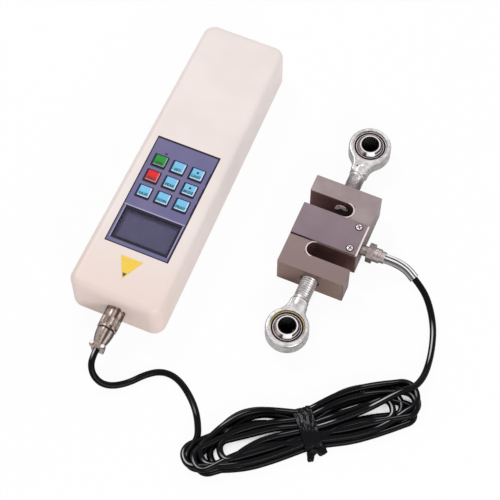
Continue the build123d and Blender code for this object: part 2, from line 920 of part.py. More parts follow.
with BuildPart() as coupling_nut:
    add(
        turned(
            plug_axis,
            [
                (coupling_start, coupling_bore),
                (coupling_start, coupling_diameter / 2 - coupling_edge),
                (coupling_start + coupling_edge, coupling_diameter / 2),
                (coupling_end - coupling_edge, coupling_diameter / 2),
                (coupling_end, coupling_diameter / 2 - coupling_edge),
                (coupling_end, collar_radius + coupling_bore_clearance),
                (coupling_wall_start, collar_radius + coupling_bore_clearance),
                (coupling_wall_start, coupling_bore),
            ],
        )
    )
finish(coupling_nut, "coupling_nut")

clamp_plane = plug_plane.offset(backshell_end)
with BuildPart() as plug_backshell:
    with BuildSketch(plug_axis):
        with BuildLine():
            front = (backshell_start, backshell_front_diameter / 2)
            rear = (backshell_end, backshell_rear_diameter / 2)
            swell = (
                (backshell_start + backshell_end) / 2,
                (backshell_front_diameter + backshell_rear_diameter) / 4 + backshell_swell,
            )
            ThreePointArc(front, swell, rear)
            Polyline(
                rear,
                (backshell_end, 0),
                (backshell_start + collar_reach, 0),
                (backshell_start + collar_reach, collar_radius + fit_gap),
                (backshell_start, collar_radius + fit_gap),
                front,
            )
        make_face()
    revolve(axis=Axis(plug_axis.origin, plug_axis.x_dir))
    with BuildSketch(clamp_plane):
        with Locations((0, 0)):
            Rectangle(clamp_width, clamp_height)
    extrude(amount=clamp_thickness)
    with Locations(Plane(origin=(plug_x, socket_face - backshell_end, plug_height), z_dir=(0, 0, 1))):
        Box(
            clamp_width,
            clamp_thickness,
            clamp_height,
            align=(Align.CENTER, Align.MAX, Align.MIN),
            mode=Mode.SUBTRACT,
        )
    with BuildSketch(Plane.XY.offset(plug_height)):
        with Locations((plug_x, socket_face - backshell_end - clamp_thickness / 2)):
            with GridLocations(2 * clamp_screw_x, 0, 2, 1):
                Circle(clamp_screw_diameter / 2 + screw_clearance)
    extrude(amount=-clamp_screw_grip, mode=Mode.SUBTRACT)
finish(plug_backshell, "plug_backshell")

with BuildPart() as cable_clamp:
    with BuildSketch(Plane.XY.offset(plug_height + clamp_split)):
        with Locations((plug_x, socket_face - backshell_end - clamp_thickness / 2)):
            RectangleRounded(clamp_width, clamp_thickness, clamp_corner)
            with GridLocations(2 * clamp_screw_x, 0, 2, 1):
                Circle(clamp_screw_diameter / 2 + screw_clearance, mode=Mode.SUBTRACT)
    extrude(amount=clamp_height / 2 - clamp_split)
finish(cable_clamp, "cable_clamp")

with BuildPart() as clamp_screws:
    with BuildSketch(Plane.XY.offset(plug_height + clamp_height / 2)):
        with Locations((plug_x, socket_face - backshell_end - clamp_thickness / 2)):
            with GridLocations(2 * clamp_screw_x, 0, 2, 1):
                Circle(clamp_screw_head / 2)
    extrude(amount=clamp_screw_head_height)
    with BuildSketch(Plane.XY.offset(plug_height + clamp_height / 2)):
        with Locations((plug_x, socket_face - backshell_end - clamp_thickness / 2)):
            with GridLocations(2 * clamp_screw_x, 0, 2, 1):
                Circle(clamp_screw_diameter / 2)
    extrude(amount=-(clamp_height / 2 + clamp_screw_grip))
finish(clamp_screws, "clamp_screws")

# ---- load cell body: the S-shaped beam ------------------------------------------------------------
beam_left = cell_x - beam_width / 2
beam_right = cell_x + beam_width / 2
hole_radius = shank_diameter / 2 + thread_clearance
pocket_middle = cell_x + (pocket_left + pocket_right) / 2
pocket_width = pocket_right - pocket_left
cover_left = beam_left
cover_right = beam_right - cover_edge
cover_screw_places = [
    (cover_right - cover_screw_edge, cell_y + side * cover_screw_spacing / 2) for side in (-1, 1)
]
with BuildPart() as s_beam:
    with BuildSketch():
        with Locations((cell_x, cell_y)):
            Rectangle(beam_width, beam_length)
        with Locations((beam_left, cell_y + slot_far_edge + slot_width / 2)):
            SlotOverall(2 * slot_reach, slot_width, mode=Mode.SUBTRACT)
        with Locations((beam_right, cell_y - slot_far_edge - slot_width / 2)):
            SlotOverall(2 * slot_reach, slot_width, mode=Mode.SUBTRACT)
    extrude(amount=beam_thickness)
    chamfer(s_beam.edges().filter_by(Axis.Z).group_by(Axis.X)[0], length=beam_chamfer)
    chamfer(s_beam.edges().filter_by(Axis.Z).group_by(Axis.X)[-1], length=beam_chamfer)
    for side in (-1, 1):
        end_face = (cell_x, cell_y + side * beam_length / 2, mid_height)
        with Locations(Plane(origin=end_face, z_dir=(0, side, 0))):
            CounterSinkHole(
                hole_radius,
                hole_countersink / 2,
                depth=arm_thickness + shank_end_stand,
                counter_sink_angle=90,
            )
    with BuildSketch(Plane.XY.offset(beam_thickness)):
        with Locations((pocket_middle, cell_y)):
            RectangleRounded(pocket_width, 2 * pocket_half_length, pocket_corner)
    extrude(amount=-pocket_depth, mode=Mode.SUBTRACT)
    with Locations(Plane(origin=(beam_right, cell_y, mid_height), z_dir=(1, 0, 0))):
        Hole(gland_neck_diameter / 2 + screw_clearance, depth=beam_width / 2 - pocket_right)
    with Locations(*[(x, y, beam_thickness) for x, y in cover_screw_places]):
        Hole(cover_screw_diameter / 2 + screw_clearance, depth=cover_screw_length)
finish(s_beam, "s_beam")

with BuildPart() as cover_plate:
    with BuildSketch(Plane.XY.offset(beam_thickness)):
        with Locations(((cover_left + cover_right) / 2, cell_y)):
            Rectangle(cover_right - cover_left, cover_length)
        with Locations(*cover_screw_places):
            Circle(cover_screw_diameter / 2 + screw_clearance, mode=Mode.SUBTRACT)
    extrude(amount=cover_thickness)
    chamfer(cover_plate.faces().sort_by(Axis.Z)[-1].outer_wire().edges(), length=cover_chamfer)
finish(cover_plate, "cover_plate")

cover_top = beam_thickness + cover_thickness
with BuildPart() as cover_screws:
    with BuildSketch(Plane.XY.offset(cover_top)):
        with Locations(*cover_screw_places):
            Circle(cover_screw_head / 2)
    extrude(amount=cover_screw_head_height)
    chamfer(cover_screws.faces().sort_by(Axis.Z)[-2:].edges(), length=cover_chamfer)
    with BuildSketch(Plane.XY.offset(cover_top)):
        with Locations(*cover_screw_places):
            Circle(cover_screw_diameter / 2)
    extrude(amount=-cover_screw_length)
    with BuildSketch(Plane.XY.offset(cover_top + cover_screw_head_height)):
        with Locations(*cover_screw_places):
            Rectangle(2 * cover_screw_head, cover_slot_width)
    extrude(amount=-cover_slot_depth, mode=Mode.SUBTRACT)
finish(cover_screws, "cover_screws")

# ---- bridge: four foil gauges on the pocket's two long walls, and the terminal board on its floor --
pocket_floor = beam_thickness - pocket_depth
with BuildPart() as strain_gauges:
    for side in (-1, 1):
        wall = Plane(
            origin=(pocket_middle, cell_y + side * pocket_half_length, pocket_floor + pocket_depth / 2),
            x_dir=(1, 0, 0),
            z_dir=(0, -side, 0),
        )
        with BuildSketch(wall):
            with GridLocations(gauge_length + gauge_gap, 0, 2, 1):
                Rectangle(gauge_length, gauge_width)
        extrude(amount=gauge_thickness)
finish(strain_gauges, "strain_gauges")

with BuildPart() as terminal_board:
    with BuildSketch(Plane.XY.offset(pocket_floor)):
        with Locations((cell_x, cell_y)):
            Rectangle(terminal_board_length, terminal_board_width)
    extrude(amount=terminal_board_thickness)
finish(terminal_board, "terminal_board")


# ---- rod ends: each a threaded shank with a flat head, a liner ring pressed in it and a ball -------
def thread_profile(start, end):
    """Half section of a threaded shank along its axis, as ring grooves one pitch apart."""
    points = [(start, 0), (start, shank_diameter / 2)]
    count = int((end - start) / thread_pitch)
    first = end - count * thread_pitch
    for turn in range(count):
        crest = first + turn * thread_pitch
        points.append((crest, shank_diameter / 2))
        points.append((crest + thread_pitch / 2, shank_diameter / 2 - thread_depth))
    points.append((end, shank_diameter / 2 - thread_depth / 2))
    points.append((end, 0))
    return points


# The neck starts as a cone under the head's faces and stands proud of them as a round bar.
neck_root = math.sqrt((head_diameter / 2) ** 2 - (neck_diameter / 2) ** 2)
neck_profile = [
    (eye_wall_end, 0),
    (eye_wall_end, head_width / 2 - neck_margin),
    (head_diameter / 2 + neck_rise, neck_diameter / 2),
    (neck_reach - neck_chamfer, neck_diameter / 2),
    (neck_reach, neck_diameter / 2 - neck_chamfer),
    (neck_reach, 0),
]
ball_radius = ball_diameter / 2
liner_bore = ball_radius + ball_clearance
eye_radius = liner_diameter / 2 + liner_fit
for where, side in (("far", 1), ("near", -1)):
    eye = (cell_x, cell_y + side * (beam_length / 2 + eye_distance), mid_height)
    shank_axis = turning_plane(eye, (0, -side, 0))
    with BuildPart() as rod_end:
        with BuildSketch(Plane.XY.offset(mid_height - head_width / 2)) as head_outline:
            with Locations((eye[0], eye[1] - side * neck_flat_reach / 2)):
                Rectangle(neck_diameter, neck_flat_reach)
            with Locations((eye[0], eye[1])):
                Circle(head_diameter / 2)
            junctions = [eye[1] - side * neck_root - fit_gap, eye[1] - side * neck_root + fit_gap]
            fillet(head_outline.vertices().filter_by_position(Axis.Y, *junctions), radius=neck_fillet)
            nose = head_outline.vertices().group_by(Axis.Y)[0 if side > 0 else -1]
            fillet(nose, radius=neck_nose)
        extrude(amount=head_width)
        fillet(rod_end.faces().filter_by(Axis.Z).edges(), radius=head_edge)
        add(turned(shank_axis, neck_profile))
        add(turned(shank_axis, thread_profile(neck_reach, shank_tip)))
        with Locations((eye[0], eye[1], mid_height)):
            Cylinder(eye_radius, head_width, mode=Mode.SUBTRACT)
    finish(rod_end, f"rod_end_{where}")

    with BuildPart() as liner:
        with Locations(eye):
            Cylinder(liner_diameter / 2, liner_width)
            Sphere(liner_bore, mode=Mode.SUBTRACT)
    finish(liner, f"liner_{where}")

    with BuildPart() as ball:
        with Locations(eye):
            Sphere(ball_radius)
            Box(2 * ball_diameter, 2 * ball_diameter, ball_width, mode=Mode.INTERSECT)
            Cylinder(eye_bore_diameter / 2, ball_width, mode=Mode.SUBTRACT)
    finish(ball, f"ball_{where}")

# ---- cable gland on the load cell ----------------------------------------------------------------
gland_plane = Plane(origin=(beam_right, cell_y, mid_height), z_dir=(1, 0, 0))
gland_hex_start = gland_neck_length
gland_nut_start = gland_hex_start + gland_hex_length
gland_end = gland_nut_start + gland_nut_length
with BuildPart() as gland_body:
    with BuildSketch(gland_plane):
        Circle(gland_neck_diameter / 2)
    extrude(amount=gland_nut_start)
    with BuildSketch(gland_plane):
        Circle(gland_neck_diameter / 2)
    extrude(amount=-gland_spigot_length)
    with BuildSketch(gland_plane.offset(gland_hex_start)):
        RegularPolygon(gland_hex / 2, 6, major_radius=False)
    extrude(amount=gland_hex_length)
finish(gland_body, "gland_body")

with BuildPart() as gland_nut:
    with BuildSketch(gland_plane.offset(gland_nut_start)):
        Circle(gland_nut_diameter / 2)
    extrude(amount=gland_nut_length * gland_nut_share)
    with BuildSketch(gland_plane.offset(gland_nut_start)):
        Circle(gland_nut_diameter / 2 - gland_nut_step)
    extrude(amount=gland_nut_length)
finish(gland_nut, "gland_nut")


# ---- cable: straight runs joined by arcs as large as their two runs allow --------------------------
def bend_radii(points):
    """The arc at each inner point of a route: a share of the shorter run over tan(half the turn)."""
    spots = [Vector(*point) for point in points]
    radii = []
    for before, corner, after in zip(spots, spots[1:], spots[2:]):
        run_in, run_out = corner - before, after - corner
        half_turn = math.radians(run_in.get_angle(run_out)) / 2
        radii.append(cable_bend * min(run_in.length, run_out.length) / math.tan(half_turn))
    return radii


def route_line(points):
    """Straight runs joined by arcs."""
    with BuildLine(mode=Mode.PRIVATE) as route:
        FilletPolyline(*points, radius=bend_radii(points))
    return route.wires()[0]


def tube(points, diameter, label):
    """A round tube along a route, with its radii and its volume over section times length printed."""
    middle = route_line(points)
    with BuildPart() as piece:
        with BuildSketch(Plane(origin=middle @ 0, z_dir=middle % 0)):
            Circle(diameter / 2)
        sweep(path=middle)
    ratio = piece.part.volume / (math.pi * diameter**2 / 4 * middle.length)
    print(label, "length", round(middle.length, 1), "volume ratio", round(ratio, 4))
    print(label, "radii", [round(radius, 1) for radius in bend_radii(points)])
    finish(piece, label)


def wires(points, count, across, label):
    """Several equal wires side by side, spread along the direction across."""
    with BuildPart() as bundle:
        for number in range(count):
            shift = across * (number - (count - 1) / 2) * wire_pitch
            middle = route_line([tuple(Vector(*point) + shift) for point in points])
            with BuildSketch(Plane(origin=middle @ 0, z_dir=middle % 0)):
                Circle(wire_diameter / 2)
            sweep(path=middle)
    finish(bundle, label)


plug_exit = (plug_x, socket_face - clamp_end, plug_height)
gland_exit = (beam_right + gland_end, cell_y, mid_height)
tube([gland_exit] + sleeve_points[1:], sleeve_diameter, "lead_sleeve")
tube([plug_exit] + meter_lead_points[1:], cable_diameter, "meter_lead")
tube(cell_lead_points, cable_diameter, "cell_lead")

# ---- inner wires: socket to signal header, battery to supply header, gland to terminal board --------
header_base = board_base - header_height
socket_rear = socket_face + socket_body_length
signal_x, signal_y = signal_header_place[0], board_y + signal_header_place[1]
socket_wire_points = [
    (plug_x, socket_rear, plug_height),
    (plug_x, socket_rear + wire_run, plug_height),
    ((plug_x + signal_x) / 2, (socket_rear + signal_y + wire_run) / 2, header_base - wire_drop),
    (signal_x, signal_y, header_base - wire_run),
    (signal_x, signal_y, header_base),
]
wires(socket_wire_points, socket_wire_count, Vector(1, 0, 0), "socket_wires")

supply_x, supply_y = supply_header_place[0], board_y + supply_header_place[1]
battery_front = battery_y - battery_length / 2
battery_middle = case_wall + battery_height / 2
battery_wire_points = [
    (supply_x, battery_front, battery_middle),
    (supply_x, battery_front - wire_run, battery_middle),
    (supply_x, (battery_front - wire_run + supply_y) / 2, header_base - wire_drop),
    (supply_x, supply_y, header_base - wire_run),
    (supply_x, supply_y, header_base),
]
wires(battery_wire_points, battery_wire_count, Vector(1, 0, 0), "battery_wires")

spigot_end = beam_right - gland_spigot_length
board_end = cell_x + terminal_board_length / 2
terminal_top = pocket_floor + terminal_board_thickness
cell_wire_points = [
    (spigot_end, cell_y, mid_height),
    (spigot_end - wire_run, cell_y, mid_height),
    (board_end, cell_y, terminal_top + wire_loop),
    (board_end - wire_run, cell_y, terminal_top + wire_run),
    (board_end - wire_run, cell_y, terminal_top),
]
wires(cell_wire_points, cell_wire_count, Vector(0, 1, 0), "cell_wires")

# ---- hank: the folded cable's outer shape, two lobes with a tied waist ------------------------------
hank_direction = Vector(1, 0, 0).rotate(Axis.Z, hank_angle)
hank_plane = Plane(origin=(*hank_start, 0), x_dir=hank_direction, z_dir=(0, 0, 1))
with BuildPart() as cable_hank:
    for circles in (left_lobe, right_lobe):
        with BuildSketch(hank_plane):
            with BuildLine():
                for along, across, radius in circles:
                    CenterArc((along, across), radius, 0, 360)
            make_hull()
        extrude(amount=hank_height)
    fillet(cable_hank.faces().sort_by(Axis.Z)[-1].edges(), radius=hank_edge)
    with BuildSketch(hank_plane):
        with Locations((tie_place, 0)):
            Rectangle(tie_width + 2 * tie_gap, waist_cut)
        with Locations((tie_place, (waist_low + waist_high) / 2)):
            Rectangle(tie_width + 2 * tie_gap, waist_high - waist_low, mode=Mode.SUBTRACT)
    extrude(amount=hank_height, mode=Mode.SUBTRACT)
    with BuildSketch(hank_plane.offset(waist_height)):
        with Locations((tie_place, 0)):
            Rectangle(tie_width + 2 * tie_gap, waist_cut)
    extrude(amount=hank_height, mode=Mode.SUBTRACT)
    with BuildSketch(hank_plane):
        with Locations((tie_place, 0)):
            Rectangle(tie_width + 2 * tie_gap, waist_cut)
    extrude(amount=tie_thickness + tie_fit, mode=Mode.SUBTRACT)
finish(cable_hank, "cable_hank")

tie_low = waist_low - tie_fit
tie_high = waist_high + tie_fit
with BuildPart() as hank_tie:
    with BuildSketch(hank_plane):
        with Locations((tie_place, (tie_low + tie_high) / 2)):
            Rectangle(tie_width, tie_high - tie_low + 2 * tie_thickness)
    extrude(amount=waist_height + tie_fit + tie_thickness)
    with BuildSketch(hank_plane.offset(tie_thickness)):
        with Locations((tie_place, (tie_low + tie_high) / 2)):
            Rectangle(tie_width, tie_high - tie_low)
    extrude(amount=waist_height + tie_fit - tie_thickness, mode=Mode.SUBTRACT)
    with BuildSketch(hank_plane):
        with Locations((tie_place - (tie_width - tie_tail_width) / 2, tie_low - tie_thickness)):
            Rectangle(tie_tail_width, tie_tail_length, align=(Align.CENTER, Align.MAX))
    extrude(amount=tie_tail_thickness)
finish(hank_tie, "hank_tie")
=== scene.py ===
import math

import bmesh
import bpy
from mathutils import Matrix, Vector


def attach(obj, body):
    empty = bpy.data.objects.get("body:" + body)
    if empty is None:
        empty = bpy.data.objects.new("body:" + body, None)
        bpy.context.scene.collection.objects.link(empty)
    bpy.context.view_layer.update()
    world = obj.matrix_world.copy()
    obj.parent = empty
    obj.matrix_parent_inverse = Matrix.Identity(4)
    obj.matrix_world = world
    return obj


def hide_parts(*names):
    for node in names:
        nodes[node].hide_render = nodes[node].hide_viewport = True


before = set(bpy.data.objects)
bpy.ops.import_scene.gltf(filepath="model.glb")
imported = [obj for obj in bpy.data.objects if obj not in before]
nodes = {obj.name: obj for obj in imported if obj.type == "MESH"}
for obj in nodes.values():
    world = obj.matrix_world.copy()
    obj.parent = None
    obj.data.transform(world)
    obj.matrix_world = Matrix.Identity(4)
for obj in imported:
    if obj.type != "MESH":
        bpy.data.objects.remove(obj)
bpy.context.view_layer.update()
mm = 0.001


# nodes and sockets of the materials
def arithmetic(operation, turned=False):
    # one Math node as a method; turned where the signal stands on the right
    def method(self, *others):
        values = (*others, self) if turned else (self, *others)
        return self.finish.add("ShaderNodeMath", {"operation": operation}, dict(enumerate(values)))
    return method


class Signal:
    # an output socket that can stand in plain arithmetic
    def __init__(self, finish, socket):
        self.finish = finish
        self.socket = socket

    __add__ = arithmetic("ADD")
    __radd__ = arithmetic("ADD", turned=True)
    __sub__ = arithmetic("SUBTRACT")
    __rsub__ = arithmetic("SUBTRACT", turned=True)
    __mul__ = arithmetic("MULTIPLY")
    __rmul__ = arithmetic("MULTIPLY", turned=True)
    __truediv__ = arithmetic("DIVIDE")
    __abs__ = arithmetic("ABSOLUTE")
    __lt__ = arithmetic("LESS_THAN")
    __gt__ = arithmetic("GREATER_THAN")
    power = arithmetic("POWER")
    larger = arithmetic("MAXIMUM")
    smaller = arithmetic("MINIMUM")

    def wrapped(self, half):
        # brought between minus half and half by whole steps
        inputs = {0: self, 1: half, 2: -half}
        return self.finish.add("ShaderNodeMath", {"operation": "WRAP"}, inputs)

    def ease(self, low, high):
        # 0 below low, 1 above high
        inputs = {"Value": self, "From Min": low, "From Max": high}
        return self.finish.add("ShaderNodeMapRange", {"interpolation_type": "SMOOTHSTEP"}, inputs)


class Finish:
    # one procedural material; places in it are in millimetres of the shared frame
    def __init__(self, name):
        self.material = bpy.data.materials.new(name)
        self.material.use_nodes = True
        self.tree = self.material.node_tree
        self.tree.nodes.clear()
        self.place = self.add("ShaderNodeTexCoord", output="Object")
        scaled = self.add("ShaderNodeVectorMath", {"operation": "SCALE"}, {0: self.place, "Scale": 1 / mm})
        self.x, self.y, self.z = self.split(scaled)

    def add(self, kind, settings=None, inputs=None, output=0):
        node = self.tree.nodes.new(kind)
        for key, value in (settings or {}).items():
            if key == "stops":
                ramp = node.color_ramp.elements
                while len(ramp) < len(value):
                    ramp.new(0.5)
                for stop, (where, colour) in zip(ramp, value):
                    stop.position = where
                    stop.color = (*colour, 1.0)
            else:
                setattr(node, key, value)
        for key, value in (inputs or {}).items():
            if isinstance(value, Signal):
                self.tree.links.new(value.socket, node.inputs[key])
            elif isinstance(value, tuple) and node.inputs[key].type == "RGBA":
                node.inputs[key].default_value = (*value, 1.0)
            else:
                node.inputs[key].default_value = value
        return Signal(self, node.outputs[output])

    def split(self, vector):
        parts = self.add("ShaderNodeSeparateXYZ", inputs={0: vector})
        return [Signal(self, socket) for socket in parts.socket.node.outputs]

    def mix(self, share, first, second, blend="MIX"):
        # sockets 6 and 7 are the colour pair of the Mix node, output 2 its colour
        inputs = {0: share, 6: first, 7: second}
        return self.add("ShaderNodeMix", {"data_type": "RGBA", "blend_type": blend}, inputs, output=2)

    def ramp(self, stops, share, tone=(1.0, 1.0, 1.0)):
        # grey levels along the share, each coloured by the tone
        coloured = [(place, tuple(level * part for part in tone)) for place, level in stops]
        return self.add("ShaderNodeValToRGB", {"stops": coloured}, {0: share})

    def noise(self, scale, detail=3.0, roughness=0.55, stretch=(1.0, 1.0, 1.0)):
        moved = self.add("ShaderNodeMapping", inputs={"Vector": self.place, "Scale": stretch})
        inputs = {"Vector": moved, "Scale": scale, "Detail": detail, "Roughness": roughness}
        return self.add("ShaderNodeTexNoise", inputs=inputs)

    def bump(self, height, strength, depth):
        inputs = {"Height": height, "Strength": strength, "Distance": depth}
        return self.add("ShaderNodeBump", inputs=inputs, output="Normal")

    def box(self, centre, half):
        # distance in millimetres from a rectangle's edge in plan, negative inside
        return (abs(self.x - centre[0]) - half[0]).larger(abs(self.y - centre[1]) - half[1])

    def facing(self, direction):
        # how far the object's own normal points in a direction, -1 to 1
        across, along, up = self.split(self.add("ShaderNodeTexCoord", output="Normal"))
        return across * direction[0] + along * direction[1] + up * direction[2]

    def around(self, centre):
        # millimetres from an upright axis: in x, in y and straight out
        outX = self.x - centre[0]
        outY = self.y - centre[1]
        return outX, outY, (outX * outX + outY * outY).power(0.5)

    def close(self, **values):
        shader = self.tree.nodes.new("ShaderNodeBsdfPrincipled")
        names = {"colour": "Base Color", "roughness": "Roughness", "metallic": "Metallic", "alpha": "Alpha",
                 "specular": "Specular IOR Level", "coat": "Coat Weight",
                 "coatRoughness": "Coat Roughness", "normal": "Normal"}
        for key, value in values.items():
            socket = shader.inputs[names[key]]
            if isinstance(value, Signal):
                self.tree.links.new(value.socket, socket)
            elif isinstance(value, tuple):
                socket.default_value = (*value, 1.0)
            else:
                socket.default_value = value
        end = self.tree.nodes.new("ShaderNodeOutputMaterial")
        self.tree.links.new(shader.outputs[0], end.inputs["Surface"])
        return self.material


def tint(red, green, blue):
    # a colour as seen on screen, 0 to 255, turned into the shader's linear values
    def linear(level):
        level /= 255.0
        return level / 12.92 if level <= 0.04045 else ((level + 0.055) / 1.055) ** 2.4
    return linear(red), linear(green), linear(blue)


def shaded(colour, factor):
    return tuple(min(1.0, level * factor) for level in colour)


warmSpan = (-112.0, -40.0)  # where the case is warmer, in y


def mouldedPlastic(name, colour, roughness=0.42, grain=0.35, coat=0.0, warmEnd=None):
    f = Finish(name)
    cloud = f.noise(26.0, detail=2.0)
    speckle = f.noise(2600.0, detail=2.0)
    base = f.mix(cloud.ease(0.35, 0.7), shaded(colour, 0.97), shaded(colour, 1.02))
    if warmEnd:
        # the moulding is a little warmer towards its socket end
        base = f.mix(1.0 - (f.y + 12.0 * cloud).ease(*warmSpan), base, warmEnd)
    return f.close(colour=base, roughness=roughness - 0.05 + 0.1 * cloud,
                   normal=f.bump(speckle, grain, 0.00004), coat=coat, coatRoughness=0.2)


# painted reflection: how bright a polished round is painted from its side, by how far its face turns up: -1
# down, 1 up
sheenStops = [(0.0, 0.40), (0.30, 0.32), (0.46, 0.55), (0.53, 0.86), (0.60, 0.38), (0.70, 0.34),
              (0.80, 0.88), (0.86, 1.0), (0.92, 0.62), (0.97, 0.98), (1.0, 1.0)]
# tone of the painted reflection bands
bandTone = (1.0, 0.97, 0.96)


def oilyTip(f, base, s):
    # the end of a shank that lies along Y, painted dark as shade, with a painted highlight caught on its
    # upper rim
    outX = f.x - s["x"]
    outZ = f.z - s["z"]
    radius = (outX * outX + outZ * outZ).power(0.5)
    zone = (f.y > s["from"]) * (f.y < s["to"])
    crescent = radius.ease(*s["rim"]) * (outZ - 0.35 * outX).ease(*s["litFrom"])
    base = f.mix(zone, base, s["oil"])
    return f.mix(zone * crescent, base, s["light"])


# what a metal has unless its own settings say otherwise
metalLook = {
    "markScale": 420.0, "stretch": (1.0, 1.0, 1.0), "blotchScale": 200.0, "dark": 0.8, "markShade": 0.3,
    "roughness": 0.26, "bump": 0.2, "metallic": 1.0,
}


def rolledMetal(name, colour, own):
    # a plated or ground metal: long brush marks along one axis, and blotches of tarnish
    s = {**metalLook, **own}
    f = Finish(name)
    marks = f.noise(s["markScale"], detail=4.0, roughness=0.65, stretch=s["stretch"])
    blotch = f.noise(s["blotchScale"], detail=3.0)
    even = f.mix(blotch.ease(0.3, 0.75), shaded(colour, s["dark"]), shaded(colour, 1.06))
    base = f.mix(marks.ease(0.35, 0.7) * s["markShade"], even, shaded(colour, s["dark"] * 0.8))
    # painted reflection, lighter or darker by how far each face turns up
    if "sheen" in s:
        level = f.ramp(sheenStops, f.facing((0.0, 0.0, 1.0)) * 0.5 + 0.5)
        base = f.mix(s["sheen"], base, level, "MULTIPLY")
    if "bands" in s:
        # painted reflection: long bright and dark bands, laid by the way each part of a round faces
        share = f.facing(s["bandsToward"]) * 0.5 + 0.47 + 0.06 * marks
        base = f.mix(1.0, base, f.ramp(s["bands"], share, bandTone), "MULTIPLY")
    for *centre, inner, outer in s.get("rings", []):
        # painted shade in a ring, or in a spot where the inner radius is below 0
        radius = f.around(centre)[2]
        ring = radius.ease(inner - 0.1, inner + 0.1) * (1.0 - radius.ease(outer - 0.15, outer + 0.15))
        base = f.mix(ring, base, s["ringColour"])
    # painted shade in a gap across the part, from low to high in y
    for low, high in s.get("grooves", []):
        cut = f.y.ease(low - 0.1, low + 0.1) * (1.0 - f.y.ease(high - 0.1, high + 0.1))
        base = f.mix(cut, base, s["ringColour"])
    if "tip" in s:
        base = oilyTip(f, base, s["tip"])
    rough = s["roughness"] - 0.06 + 0.12 * marks
    return f.close(colour=base, metallic=s["metallic"], roughness=rough,
                   normal=f.bump(marks, s["bump"], 0.00003))


sleeveLook = {
    "bandsToward": (0.466, 0.83, 0.30), "tone": (1.0, 0.97, 0.97),
    "bands": [(0.0, 0.02), (0.07, 0.03), (0.12, 0.48), (0.20, 0.30), (0.32, 0.10), (0.43, 0.05),
              (0.47, 0.62), (0.50, 0.95), (0.57, 0.97), (0.60, 0.40), (0.63, 0.01), (0.71, 0.01),
              (0.745, 0.70), (0.80, 1.0), (0.87, 0.95), (0.91, 0.30), (0.94, 0.06), (1.0, 0.02)],
}


def sleeveFinish():
    # polished spring sleeve with painted reflection: its long bright and dark bands lie along it, laid by
    # the way each part faces
    s = sleeveLook
    f = Finish("polished_sleeve")
    waver = f.noise(300.0, detail=3.0, stretch=(1.0, 1.6, 1.6))
    level = f.ramp(s["bands"], f.facing(s["bandsToward"]) * 0.5 + 0.48 + 0.05 * waver, s["tone"])
    return f.close(colour=level, roughness=0.3 + 0.1 * waver, specular=0.15)


highlightToward = (-0.24, -0.10, 0.965)  # the way a laid cord's crown faces, where its painted highlight lies


def wireSheath(name, colour, glint=0.0):
    f = Finish(name)
    scuff = f.noise(900.0, detail=3.0)
    base = f.mix(scuff.ease(0.4, 0.8), colour, shaded(colour, 1.5))
    if glint:
        # painted highlight: thin pale lines along the sheath's crown
        crown = f.facing(highlightToward).ease(0.955, 0.985)
        stretch = f.noise(26.0, detail=1.0).ease(0.47, 0.56)
        base = f.mix(crown * stretch * glint, base, tint(214, 212, 216))
    return f.close(colour=base, roughness=0.2 + 0.1 * scuff, specular=0.07,
                   normal=f.bump(scuff, 0.08, 0.00003))


panelLook = {
    "centre": (0.0, -33.2), "half": (24.7, 46.3),
    "keyPitch": (14.6, 13.7), "firstKeyY": -6.1, "keyHalf": (4.6, 4.4), "rows": 3,
    "displayCentre": (0.0, -62.0), "displayHalf": (23.0, 13.8),
    "film": tint(117, 109, 148), "filmDeep": tint(105, 101, 143),
    "ink": tint(12, 8, 26), "pale": tint(172, 164, 202), "keyShade": tint(16, 14, 48),
    # outline of a key, partly printed and partly painted shadow: its move down and left, its spread, and
    # where it fades
    "outlineShift": (0.3, 0.4), "outlineSpread": (0.15, 0.2), "outlineEdge": (0.85, 1.1),
    # height of the pale rule above the display, and how far from the film's edges its dark frame fades
    "ruleAbove": 0.75, "frameEdge": (-0.9, -0.65), "frameFar": (-1.6, -1.3), "frameRight": (-1.25, -1.0),
    # a key's paler right and near edges, which are painted highlight, and the foot of its cap, painted shade
    "lipRight": (3.5, 3.9), "lipNear": (-3.8, -3.4), "capFoot": (37.45, 37.6),
}


def nearestKey(f):
    # millimetres from the middle of the nearest key
    halfX, halfY = [pitch / 2 for pitch in panelLook["keyPitch"]]
    return f.x.wrapped(halfX), (f.y - panelLook["firstKeyY"]).wrapped(halfY)


def panelFinish():
    s = panelLook
    f = Finish("printed_film")
    drift = f.noise(30.0, detail=2.0)
    base = f.mix(drift.ease(0.3, 0.7), s["film"], s["filmDeep"])
    # dark outline round every key, partly printed and partly painted shadow, heavier to the lower left
    nearX, nearY = nearestKey(f)
    dx = (abs(nearX + s["outlineShift"][0]) - (s["keyHalf"][0] + s["outlineSpread"][0])).larger(0.0)
    dy = (abs(nearY + s["outlineShift"][1]) - (s["keyHalf"][1] + s["outlineSpread"][1])).larger(0.0)
    ring = 1.0 - (dx * dx + dy * dy).power(0.5).ease(*s["outlineEdge"])
    pitch = s["keyPitch"][1]
    rows = (f.y > s["firstKeyY"] - (s["rows"] - 0.5) * pitch) * (f.y < s["firstKeyY"] + pitch / 2)
    base = f.mix(ring * rows, base, s["keyShade"])
    # pale rule above the display, then the dark frame round the whole film
    ruleY = s["displayCentre"][1] + s["displayHalf"][1] + s["ruleAbove"]
    base = f.mix(1.0 - abs(f.y - ruleY).ease(0.3, 0.5), base, s["pale"])
    far = (f.y - (s["centre"][1] + s["half"][1])).ease(*s["frameFar"])
    right = (f.x - (s["centre"][0] + s["half"][0])).ease(*s["frameRight"])
    border = f.box(s["centre"], s["half"]).ease(*s["frameEdge"]).larger(far).larger(right)
    base = f.mix(border, base, s["ink"])
    fine = f.noise(3200.0, detail=2.0)
    return f.close(colour=base, roughness=0.4 + 0.1 * fine, specular=0.22, normal=f.bump(fine, 0.2, 0.00003))


